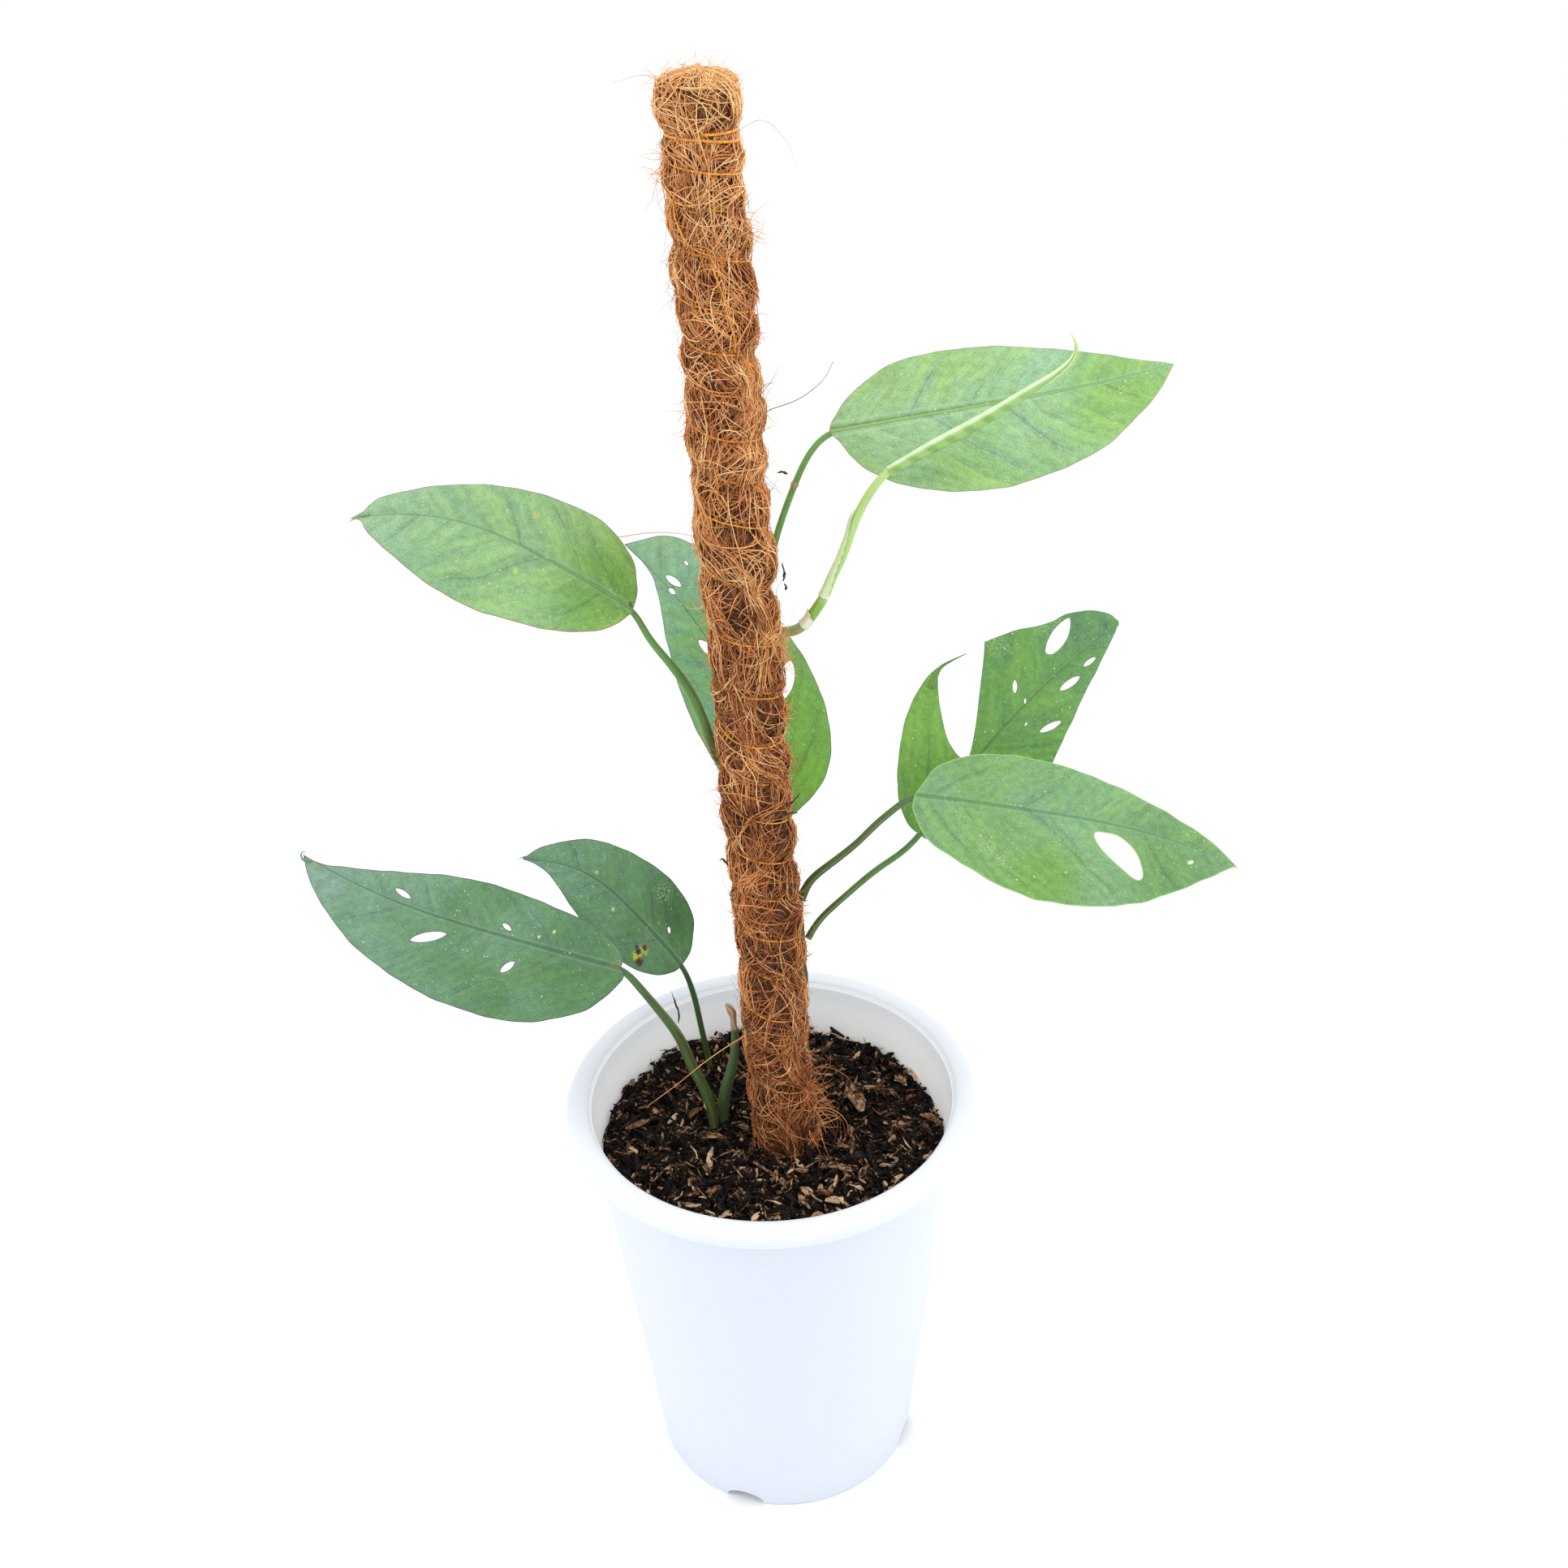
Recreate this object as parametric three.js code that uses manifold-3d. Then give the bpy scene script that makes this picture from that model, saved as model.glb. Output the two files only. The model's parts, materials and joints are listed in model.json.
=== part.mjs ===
// A cebu blue pothos in a white nursery pot, climbing a coir pole.
// Millimetres, +Z up. The pot stands on z = 0 and its own axis is x = y = 0 while the pieces are made;
// the last lines move the whole plant so that the origin is under the middle of its bounding box.

import * as THREE from 'three';
import { mergeVertices } from 'three/addons/utils/BufferGeometryUtils.js';
import Module from 'manifold-3d';

const wasm = await Module();
wasm.setup();

// Gap that touching pieces keep
const CLEARANCE = 0.3;

// Pot: a tapered nursery pot with a turned-down rim and a recessed floor
const POT = {
  height: 220,
  footRadius: 66,
  shoulderRadius: 90,
  rimRadius: 100,
  rimDrop: 8,
  rimThickness: 1.8,
  mouthRadius: 88,
  wall: 1.9,
  floorBottom: 7.5,
  floorTop: 9.5,
  footWidth: 2.4,
  segments: 40,
};
const NOTCH = { count: 4, firstAngle: 248.8, width: 20, height: 7, depth: 14 };
const DRAIN = { radius: 5, ringRadius: 52 };

// Potting mix
const SOIL_LEVEL = 189.5;
const SOIL_SLOPE = [-0.012, 0.035];
const SOIL_DIP = [-29, 12];
const SOIL_RINGS = 8;
const SOIL_SEGMENTS = 30;
const SOIL_WALL_GAP = 1.05;
const CHIP_COUNT = 30;
const CHIP_LENGTH = [6, 13];
const CHIP_WIDTH = [2, 4];
const CHIP_THICKNESS = [1.6, 2.8];

// Coir pole: the axis leans to the left as it rises
const POLE = {
  foot: [6, 0, 185],
  head: [-8.5, 0, 685],
  sleeveBottom: 183,
  sleeveTop: 690,
  domeHeight: 12,
  sleeveRadius: 15.3,
  bulge: 0.9,
  coreRadius: 8,
  coreBottom: 12.5,
  corePoint: 40,
  coreTop: 676,
  sides: 12,
};
const SLEEVE_ROW = 5.4;

// Binding thread: the heights where each turn crosses the front of the pole, from the top down
const THREAD_RADIUS = 0.6;
const THREAD_SEAT = 0.62;
const THREAD_TURNS = [
  666, 655, 642, 624, 605, 588, 572, 554, 537, 519, 491, 466,
  441, 418, 399, 380, 359, 338, 317, 295, 272, 250, 228, 208,
];
const FRONT = -Math.PI / 2;

// Climbing stem: [height, angle round the pole in degrees], 90 is straight behind it
const VINE_RADIUS = 3.2;
const VINE_NODE_SWELL = 0.5;
const VINE_OFFSET = 20.2;
const VINE_ROUTE = [
  [176, 62], [205, 60], [245, 54], [290, 48], [318, 50], [348, 66], [386, 74], [420, 66], [446, 50], [456, 42],
];
const VINE_NODES = [290, 318, 348, 386, 444];

// Leaf blades. base and tip are the ends of the blade; faces is where its upper side looks, as
// [degrees to the right of straight forward, degrees above level]. In the blade's own plane x runs from
// base to tip and y to the left. left and right are six outline points a side. bend and sway curve the
// midrib sideways, arch lifts its middle. holes are [x, y, length, width, angle].
const BLADE_THICKNESS = 0.8;
const BLADE_ROWS = 13;
const BLADE_COLUMNS = 3;
const MARGIN_CURL = 4;
const MIDRIB_FOLD = 0.08;
const MARGIN_WAVE = 1.1;
const HALF_WIDTH = 30;
const RIB_START = 1.6;
const LEAVES = [
  {
    name: 'leaf_low_left',
    base: [-66, -5, 300], tip: [-213, 40, 342], faces: [-15, 50],
    arch: 8, bend: 7, sway: -1, phase: 0,
    left: [[-2, 6], [10, 26], [38, 40], [73, 43], [112, 35], [144, 17]],
    right: [[3, -7], [20, -14], [45, -15.5], [75, -15], [110, -7], [144, 1]],
    holes: [[106, 2.5, 8.5, 2.4, -13], [87, 17.5, 16.5, 4.2, 29], [55, 1, 5, 2, -19], [48, 18, 7.6, 3, 57]],
    petiole: [
      [-29.5, 12.6, 175], [-29.4, 12.4, 192], [-31.5, 10, 210], [-37.6, 7, 230.6], [-42.4, 4, 251], [-51.8, 0, 272.7],
      [-60.5, -3.5, 290.5],
    ],
    girth: [2.2, 2.5, 2.7, 2.6, 2.4, 2, 1.8, 1.7, 1.5],
  },
  {
    name: 'leaf_low_back',
    base: [-41, 45, 263], tip: [-117, 75, 311], faces: [-15, 48],
    arch: 5, bend: -11, sway: 2, phase: 1,
    left: [[2, 5], [10, 12], [25, 15], [43, 13], [62, 6], [82, -1.5]],
    right: [[1, -10], [9, -23.5], [24, -31], [45, -33], [69, -28], [88, -13]],
    holes: [[15, -11, 3.2, 1.3, -49]],
    petiole: [[-31.1, 52.5, 177], [-31.2, 52.3, 196], [-33.8, 49, 221], [-36.2, 47, 243.3]],
    girth: [1.5, 1.5, 1.5, 1.5, 1.4, 1.3],
  },
  {
    name: 'leaf_upper_left',
    base: [-47, 0, 478], tip: [-159, 10, 520], faces: [-10, 48],
    arch: 9, bend: -9.5, sway: 2, phase: 2,
    left: [[1, 3], [9, 13], [29, 21], [58, 23], [85, 17.5], [107, 8]],
    right: [[1, -10], [8, -22], [26, -32], [56, -32], [85, -25], [108, -14]],
    holes: [],
    petiole: [
      [2, 22.5, 386], [-7, 22.5, 388], [-15.5, 16.5, 394], [-18.8, 10, 408], [-24, 6, 430], [-29, 4, 442.5],
      [-35, 2, 453.5], [-42.4, 0.8, 465.5],
    ],
    girth: [2, 2.2, 2.4, 2.4, 2.2, 2, 1.7, 1.5, 1.4, 1.3],
  },
  {
    name: 'leaf_behind_pole',
    base: [12, 40, 348], tip: [-57, 125, 454], faces: [-10, 42],
    arch: 8, bend: -12, sway: 0, phase: 3,
    left: [[-1, 3], [6, 9], [30, 14], [60, 14], [95, 7], [128, -3.5]],
    right: [[0, -10], [9, -29], [33, -43], [70, -46], [110, -39], [142, -23]],
    holes: [
      [123.5, -11.5, 9, 3.2, 23], [119.5, -8.5, 4.1, 2, 18], [128, -21, 2.8, 1.2, 4], [85, -10, 15, 4.5, 17],
      [55, -34, 18.5, 7, -41],
    ],
    petiole: [[11.6, 22, 338.6], [13.6, 28, 334.5], [14.6, 33, 336.5], [13.9, 37, 341.5]],
    girth: [1.8, 1.8, 1.7, 1.6, 1.5, 1.4],
  },
  {
    name: 'leaf_upper_right',
    base: [37, 25, 542], tip: [183, 50, 555], faces: [10, 46],
    arch: 9, bend: -6, sway: 0.5, phase: 4,
    left: [[3, 5], [14, 14], [35, 22], [62, 21.5], [96, 13.5], [131, 4]],
    right: [[2, -5], [12, -22], [38, -38], [70, -41], [105, -34], [133, -16]],
    holes: [],
    petiole: [[9.4, 19.7, 446.4], [7.6, 21.4, 460], [9, 20.8, 477], [12.8, 22, 495], [22.2, 24, 520], [28.6, 24.4, 533]],
    girth: [1.7, 1.7, 1.6, 1.5, 1.4, 1.35, 1.35, 1.3],
  },
  {
    name: 'leaf_split',
    base: [74, 20, 348], tip: [172, 75, 424], faces: [12, 38],
    arch: 6, bend: 6.5, sway: 0, phase: 5,
    left: [[0, 8], [8, 22], [30, 39.5], [60, 48], [93, 36], [123, 18]],
    right: [[2, -6], [14, -22], [36, -29], [67, -21], [95, -11.5], [120, -5]],
    holes: [
      [112, 15, 21, 8, 9], [112, -2, 7, 2, -11], [98, -2, 11.3, 3.1, -12], [77, -9, 11, 2.8, -20],
      [77, 16, 6, 2, 43],
    ],
    split: [
      [79, 52], [72, 45.5], [64, 44], [56, 40.5], [48, 34], [42, 24], [39.5, 13], [42, 8.5], [51, 14], [62, 22],
      [84, 38.5], [94, 48],
    ],
    petiole: [[20.8, 13.2, 298.5], [25.6, 15, 306.5], [37.5, 16, 318], [53.7, 18, 331.8], [66, 19.4, 339.8]],
    girth: [1.7, 1.6, 1.5, 1.5, 1.45, 1.4, 1.4],
  },
  {
    name: 'leaf_front_right',
    base: [69, -5, 385], tip: [210, -20, 349], faces: [10, 50],
    arch: 9, bend: 2.5, sway: -1, phase: 6,
    left: [[2, 4], [9, 15.5], [30, 25], [62, 25], [95, 19], [126, 10]],
    right: [[1, -8], [11, -21.5], [38, -33], [72, -37], [104, -28.5], [130, -12]],
    holes: [[91, -11, 28, 11.5, -33], [124, -5, 2.7, 1.2, 36]],
    petiole: [[18.5, 11.9, 322], [22, 9, 333.2], [32.6, 6, 344.5], [43.6, 3, 356], [52.8, 0, 368.2], [62, -3.2, 378.5]],
    girth: [2.1, 1.9, 1.7, 1.6, 1.6, 1.5, 1.4, 1.4],
  },
];

// Growing tip: the stalk of the newest leaf, its rolled blade and the papery sheath beside it
const NEW_STALK = {
  route: [
    [15.2, 13.4, 457.9], [20, 11, 459.3], [23.8, 9, 463], [28.5, 7, 470.3], [32.4, 6, 477], [35.9, 5, 486.2],
    [40.4, 4, 496.2], [46, 2, 513], [52, 1, 524.6], [58.2, 0.2, 532.6],
  ],
  girth: [2.2, 2.3, 2.3, 2.3, 2.2, 2, 2, 1.9, 1.8, 1.6],
};
const NEW_BLADE = {
  route: [
    [59.1, 0, 533.3], [77.2, 1, 542.6], [95.8, 2, 551.6], [113.9, 3, 561.8], [128, 4.4, 570],
    [133.6, 5, 576], [133, 5, 580.6], [130.9, 5, 584],
  ],
  girth: [1.8, 2.3, 2.2, 2, 1.7, 1.2, 0.8, 0.5],
  seamStep: 0.24,
  seamTurns: 0.8,
};
const SHEATH = {
  route: [[30.3, 4.2, 478.5], [33.4, 3.2, 487], [37.8, 2.2, 498], [41.6, 0.9, 508], [44.2, 0, 516]],
  width: [1.3, 1.6, 1.4, 1, 0.5],
  thickness: 0.35,
};

// Old cut stem in front of the pole, and its dried end
const OLD_STEM = {
  route: [[-24.8, 17.1, 175], [-24.6, 16.9, 192], [-22.6, 14.6, 208], [-18.4, 13.6, 224], [-16.4, 13.2, 238], [-16.2, 13, 247]],
  girth: [2.6, 2.9, 3, 2.6, 2, 1.7],
};
const DRY_END = {
  route: [[-16.2, 13, 247.5], [-16.6, 12.6, 254], [-17.4, 12, 260], [-19.6, 11.6, 263.5]],
  girth: [1.7, 1.5, 1.9, 0.9],
};

const MATERIALS = {
  pot: new THREE.MeshStandardMaterial({ color: '#eef1f6', roughness: 0.4, metalness: 0 }),
  soil: new THREE.MeshStandardMaterial({ color: '#2e1d14', roughness: 1, metalness: 0 }),
  wood: new THREE.MeshStandardMaterial({ color: '#b08d5e', roughness: 0.8, metalness: 0 }),
  coir: new THREE.MeshStandardMaterial({ color: '#9a5a2c', roughness: 0.95, metalness: 0 }),
  thread: new THREE.MeshStandardMaterial({ color: '#d97a16', roughness: 0.5, metalness: 0 }),
  stem: new THREE.MeshStandardMaterial({ color: '#3f7a3a', roughness: 0.5, metalness: 0 }),
  leaf: new THREE.MeshStandardMaterial({ color: '#5f9b5e', roughness: 0.5, metalness: 0 }),
  lowLeaf: new THREE.MeshStandardMaterial({ color: '#457c55', roughness: 0.5, metalness: 0 }),
  newLeaf: new THREE.MeshStandardMaterial({ color: '#9cc866', roughness: 0.5, metalness: 0 }),
  sheath: new THREE.MeshStandardMaterial({ color: '#d9d7b8', roughness: 0.7, metalness: 0 }),
};

// General helpers

function radians(degrees) {
  return THREE.MathUtils.degToRad(degrees);
}

// Value of a list at a share from 0 to 1 of its length, straight between its entries
function along(list, share) {
  const place = share * (list.length - 1);
  const first = Math.min(Math.floor(place), list.length - 2);
  return THREE.MathUtils.lerp(list[first], list[first + 1], place - first);
}

function seededRandom(seed) {
  let state = seed;
  return () => {
    state = (state + 0x6d2b79f5) | 0;
    let mixed = Math.imul(state ^ (state >>> 15), 1 | state);
    mixed = (mixed + Math.imul(mixed ^ (mixed >>> 7), 61 | mixed)) ^ mixed;
    return ((mixed ^ (mixed >>> 14)) >>> 0) / 4294967296;
  };
}

function geometryFrom(corners, faces) {
  const geometry = new THREE.BufferGeometry();
  geometry.setAttribute('position', new THREE.Float32BufferAttribute(corners.flat(), 3));
  geometry.setIndex(faces.flat());
  return geometry;
}

// The closed solid of a geometry, with its faces turned outwards
function toSolid(geometry) {
  const bare = geometry.clone();
  bare.deleteAttribute('normal');
  bare.deleteAttribute('uv');
  const merged = mergeVertices(bare, 1e-4);
  const index = merged.index.array;
  const kept = [];
  for (let i = 0; i < index.length; i += 3) {
    const [a, b, c] = [index[i], index[i + 1], index[i + 2]];
    if (a !== b && b !== c && c !== a) kept.push([a, b, c]);
  }
  const build = (faces) => new wasm.Manifold(new wasm.Mesh({
    numProp: 3,
    vertProperties: merged.attributes.position.array,
    triVerts: new Uint32Array(faces.flat()),
  }));
  const solid = build(kept);
  return solid.volume() < 0 ? build(kept.map(([a, b, c]) => [a, c, b])) : solid;
}

function toGeometry(solid) {
  const { vertProperties, triVerts } = solid.getMesh();
  const geometry = new THREE.BufferGeometry();
  geometry.setAttribute('position', new THREE.BufferAttribute(new Float32Array(vertProperties), 3));
  geometry.setIndex(new THREE.BufferAttribute(new Uint32Array(triVerts), 1));
  geometry.computeVertexNormals();
  return geometry;
}

function piece(name, solid, material) {
  const mesh = new THREE.Mesh(toGeometry(solid), material);
  mesh.name = name;
  return mesh;
}

// Rings of corners skinned into one closed body, with a fan over each end
function skin(rings) {
  const count = rings[0].length;
  const corners = rings.flat();
  const faces = [];
  for (let i = 0; i + 1 < rings.length; i += 1) {
    for (let k = 0; k < count; k += 1) {
      const a = i * count + k;
      const b = i * count + ((k + 1) % count);
      faces.push([a, b, b + count], [a, b + count, a + count]);
    }
  }
  for (const [ring, start, turn] of [[rings[0], 0, 1], [rings.at(-1), (rings.length - 1) * count, 0]]) {
    const middle = corners.length;
    corners.push([0, 1, 2].map((axis) => ring.reduce((sum, p) => sum + p[axis], 0) / count));
    for (let k = 0; k < count; k += 1) {
      const pair = [start + k, start + ((k + 1) % count)];
      faces.push(turn ? [middle, pair[1], pair[0]] : [middle, pair[0], pair[1]]);
    }
  }
  return toSolid(geometryFrom(corners, faces));
}

// A round body along a smooth route, with one radius of girth for each point of the route. shape, if
// given, scales the radius by the share along the route and the share round the section.
function sweep(route, girth, { sides = 8, steps = (route.length - 1) * 2, shape = () => 1 } = {}) {
  const line = new THREE.CatmullRomCurve3(route.map((p) => new THREE.Vector3(...p)), false, 'centripetal');
  const { normals, binormals } = line.computeFrenetFrames(steps, false);
  const rings = [];
  for (let i = 0; i <= steps; i += 1) {
    const share = i / steps;
    const centre = line.getPointAt(share);
    const width = along(girth, line.getUtoTmapping(share));
    const ring = [];
    for (let k = 0; k < sides; k += 1) {
      const turn = (2 * Math.PI * k) / sides;
      const radius = width * shape(share, k / sides);
      const corner = centre.clone()
        .addScaledVector(normals[i], radius * Math.cos(turn))
        .addScaledVector(binormals[i], radius * Math.sin(turn));
      ring.push(corner.toArray());
    }
    rings.push(ring);
  }
  return skin(rings);
}

// Pot

function potProfile() {
  const { height, footRadius, shoulderRadius, rimRadius, rimDrop, rimThickness, mouthRadius, wall } = POT;
  const rimBottom = height - rimDrop;
  const points = [
    [0, POT.floorBottom],
    [footRadius - POT.footWidth - 1.4, POT.floorBottom],
    [footRadius - POT.footWidth, 0],
    [footRadius, 0],
    [shoulderRadius, height - rimThickness],
    [rimRadius - rimThickness, height - rimThickness],
    [rimRadius - rimThickness, rimBottom],
    [rimRadius, rimBottom],
    [rimRadius, height - 1.4],
    [rimRadius - 1.4, height],
    [mouthRadius + 1, height],
    [mouthRadius, height - 1],
    [innerRadius(POT.floorTop), POT.floorTop],
    [0, POT.floorTop],
  ];
  return points.map(([radius, z]) => new THREE.Vector2(radius, z));
}

// Inside radius of the pot's wall at a height
function innerRadius(z) {
  const share = z / (POT.height - 1);
  return THREE.MathUtils.lerp(POT.footRadius - POT.wall, POT.mouthRadius, share);
}

function notchCutter(angle) {
  const arch = new THREE.Shape();
  arch.moveTo(-NOTCH.width / 2, -1);
  arch.lineTo(NOTCH.width / 2, -1);
  arch.absellipse(0, 0, NOTCH.width / 2, NOTCH.height, 0, Math.PI, false, 0);
  const block = new THREE.ExtrudeGeometry(arch, { depth: NOTCH.depth, bevelEnabled: false, curveSegments: 8 });
  block.rotateX(Math.PI / 2);
  block.rotateZ(Math.PI / 2);
  block.translate(POT.footRadius - NOTCH.depth / 2, 0, 0);
  block.rotateZ(angle);
  return toSolid(block);
}

function makePot() {
  const shell = new THREE.LatheGeometry(potProfile(), POT.segments);
  shell.rotateX(Math.PI / 2);
  let pot = toSolid(shell);
  for (let i = 0; i < NOTCH.count; i += 1) {
    const angle = radians(NOTCH.firstAngle + (360 / NOTCH.count) * i);
    const drain = new THREE.CylinderGeometry(DRAIN.radius, DRAIN.radius, 6, 12);
    drain.rotateX(Math.PI / 2);
    drain.translate(DRAIN.ringRadius * Math.cos(angle), DRAIN.ringRadius * Math.sin(angle), POT.floorTop - 1);
    pot = pot.subtract(notchCutter(angle)).subtract(toSolid(drain));
  }
  return piece('pot', pot, MATERIALS.pot);
}

// Pole

function poleAxis(z) {
  const [footX, footY, footZ] = POLE.foot;
  const [headX, headY, headZ] = POLE.head;
  const share = (z - footZ) / (headZ - footZ);
  return [THREE.MathUtils.lerp(footX, headX, share), THREE.MathUtils.lerp(footY, headY, share), z];
}

function polePoint(radius, angle, z) {
  const [x, y] = poleAxis(z);
  return [x + radius * Math.cos(angle), y + radius * Math.sin(angle), z];
}

// Turns of thread above a height, as a number with its fraction
function turnsAbove(z) {
  const last = THREAD_TURNS.length - 1;
  let n = 0;
  while (n < last - 1 && THREAD_TURNS[n + 1] > z) n += 1;
  return n + (THREAD_TURNS[n] - z) / (THREAD_TURNS[n] - THREAD_TURNS[n + 1]);
}

function turnHeight(turns) {
  const n = THREE.MathUtils.clamp(Math.floor(turns), 0, THREAD_TURNS.length - 2);
  return THREE.MathUtils.lerp(THREAD_TURNS[n], THREAD_TURNS[n + 1], turns - n);
}

// Outside radius of the coir: it swells between the turns of thread
function sleeveRadius(angle, z) {
  const phase = turnsAbove(z) - (angle - FRONT) / (2 * Math.PI);
  const swell = -POLE.bulge * Math.cos(2 * Math.PI * phase);
  const lumps = 0.3 * Math.sin(3 * angle + z * 0.045) + 0.2 * Math.sin(2 * angle - z * 0.11);
  return POLE.sleeveRadius + swell + lumps;
}

function makeCore() {
  const heights = [POLE.coreBottom, POLE.corePoint, POLE.coreTop];
  const build = (radii, rise) => skin(heights.map((z, i) => poleRing(() => radii[i], z + rise, POLE.sides)));
  const stake = [2.5, POLE.coreRadius, POLE.coreRadius];
  const roomy = stake.map((radius) => (radius + CLEARANCE) / Math.cos(Math.PI / POLE.sides));
  return {
    core: piece('pole_core', build(stake, 0), MATERIALS.wood),
    coreRoom: build(roomy, 0).add(build(roomy, -CLEARANCE)).add(build(roomy, CLEARANCE)),
  };
}

function poleRing(radiusAt, z, sides) {
  return Array.from({ length: sides }, (_, k) => {
    const angle = (2 * Math.PI * k) / sides;
    return polePoint(radiusAt(angle, z), angle, z);
  });
}

function makeSleeve(coreRoom) {
  const { sleeveBottom, sleeveTop, domeHeight, sides } = POLE;
  const domeStart = sleeveTop - domeHeight;
  const rings = [];
  for (let z = sleeveBottom; z < domeStart - SLEEVE_ROW / 2; z += SLEEVE_ROW) {
    rings.push(poleRing(sleeveRadius, z, sides));
  }
  rings.push(poleRing(sleeveRadius, domeStart, sides));
  for (const share of [0.4, 0.75, 1]) {
    const dome = Math.sqrt(1 - (share * 0.93) ** 2);
    rings.push(poleRing((angle) => dome * sleeveRadius(angle, domeStart), domeStart + share * domeHeight, sides));
  }
  return piece('coir_sleeve', skin(rings).subtract(coreRoom), MATERIALS.coir);
}

// Outside radius of the sleeve's flat faces, which run straight from row to row
function faceRadius(angle, z) {
  const row = Math.floor((z - POLE.sleeveBottom) / SLEEVE_ROW);
  const low = POLE.sleeveBottom + row * SLEEVE_ROW;
  return THREE.MathUtils.lerp(sleeveRadius(angle, low), sleeveRadius(angle, low + SLEEVE_ROW), (z - low) / SLEEVE_ROW);
}

function makeThread() {
  const perTurn = POLE.sides;
  const rings = [];
  for (let i = 0; i <= (THREAD_TURNS.length - 1) * perTurn; i += 1) {
    const angle = FRONT + (2 * Math.PI * i) / perTurn;
    const z = turnHeight(i / perTurn);
    const seat = Math.max(...[-1, 0, 1].map((side) => faceRadius(angle, z + side * THREAD_RADIUS))) + THREAD_SEAT;
    rings.push([
      polePoint(seat + 1.6 * THREAD_RADIUS, angle, z),
      polePoint(seat, angle, z + THREAD_RADIUS),
      polePoint(seat, angle, z - THREAD_RADIUS),
    ]);
  }
  return piece('binding_thread', skin(rings), MATERIALS.thread);
}

// Stems

function makeVine() {
  const route = VINE_ROUTE.map(([z, angle]) => polePoint(VINE_OFFSET, radians(angle), z));
  const low = VINE_ROUTE[0][0];
  const rise = VINE_ROUTE.at(-1)[0] - low;
  const shape = (share) => {
    const z = low + share * rise;
    const nearest = Math.min(...VINE_NODES.map((node) => Math.abs(node - z)));
    return 1 + (VINE_NODE_SWELL / VINE_RADIUS) * Math.max(0, 1 - nearest / 8) - 0.25 * share ** 6;
  };
  const girth = [VINE_RADIUS, VINE_RADIUS];
  return piece('vine_stem', sweep(route, girth, { steps: 40, shape }), MATERIALS.stem);
}

function makeStem(name, { route, girth }, material) {
  return piece(name, sweep(route, girth), material);
}

// Leaves

function leafFrame({ base, tip, faces, arch, bend, sway, phase }) {
  const origin = new THREE.Vector3(...base);
  const forward = new THREE.Vector3(...tip).sub(origin);
  const length = forward.length();
  forward.normalize();
  const [azimuth, elevation] = faces.map(radians);
  const up = new THREE.Vector3(
    Math.sin(azimuth) * Math.cos(elevation),
    -Math.cos(azimuth) * Math.cos(elevation),
    Math.sin(elevation),
  );
  up.addScaledVector(forward, -up.dot(forward)).normalize();
  const side = new THREE.Vector3().crossVectors(up, forward);

  const midrib = (x) => {
    const share = THREE.MathUtils.clamp(x / length, 0, 1);
    return bend * 4 * share * (1 - share) + sway * Math.sin(2 * Math.PI * share);
  };
  // Height of the blade over its plane: arched along, folded at the midrib, curled and waved at the margin
  const lift = (x, y) => {
    const share = x / length;
    const across = y - midrib(x);
    const outward = (across / HALF_WIDTH) ** 2;
    const wave = Math.sin(5 * Math.PI * share + 0.8 * Math.sign(across) + phase);
    return arch * 4 * share * (1 - share) + MIDRIB_FOLD * Math.abs(across) + outward * (MARGIN_WAVE * wave - MARGIN_CURL);
  };
  const at = (x, y, z = 0) => origin.clone()
    .addScaledVector(forward, x)
    .addScaledVector(side, y)
    .addScaledVector(up, lift(x, y) + z)
    .toArray();
  const matrix = new THREE.Matrix4().makeBasis(forward, side, up).setPosition(origin);
  return { length, midrib, at, matrix };
}

function outlineSide(points, length) {
  return new THREE.SplineCurve([[0, 0], ...points, [length, 0]].map(([x, y]) => new THREE.Vector2(x, y)));
}

// The blade without its holes: the same grid of triangles above and below, joined round the margin
function bladeSolid(leaf, frame) {
  const left = outlineSide(leaf.left, frame.length);
  const right = outlineSide(leaf.right, frame.length);
  const across = 2 * BLADE_COLUMNS + 1;
  const upper = [];
  const lower = [];
  for (let i = 0; i <= BLADE_ROWS; i += 1) {
    const share = i / BLADE_ROWS;
    const ribX = frame.length * share ** 1.6;
    const ribY = frame.midrib(ribX);
    for (let k = -BLADE_COLUMNS; k <= BLADE_COLUMNS; k += 1) {
      const margin = (k < 0 ? right : left).getPoint(share);
      const outward = Math.abs(k) / BLADE_COLUMNS;
      const x = THREE.MathUtils.lerp(ribX, margin.x, outward);
      const y = THREE.MathUtils.lerp(ribY, margin.y, outward);
      upper.push(frame.at(x, y, BLADE_THICKNESS / 2));
      lower.push(frame.at(x, y, -BLADE_THICKNESS / 2));
    }
  }
  const count = upper.length;
  const faces = [];
  for (let i = 0; i < BLADE_ROWS; i += 1) {
    for (let k = 0; k + 1 < across; k += 1) {
      const a = i * across + k;
      const b = a + across;
      const halves = k < BLADE_COLUMNS ? [[a, b, a + 1], [a + 1, b, b + 1]] : [[a, b, b + 1], [a, b + 1, a + 1]];
      for (const [p, q, r] of halves) faces.push([p, q, r], [p + count, r + count, q + count]);
    }
    for (const [edge, turned] of [[i * across, false], [i * across + across - 1, true]]) {
      const quad = [edge, edge + count, edge + across + count, edge + across];
      const [a, b, c, d] = turned ? [...quad].reverse() : quad;
      faces.push([a, b, c], [a, c, d]);
    }
  }
  return toSolid(geometryFrom([...upper, ...lower], faces));
}

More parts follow.
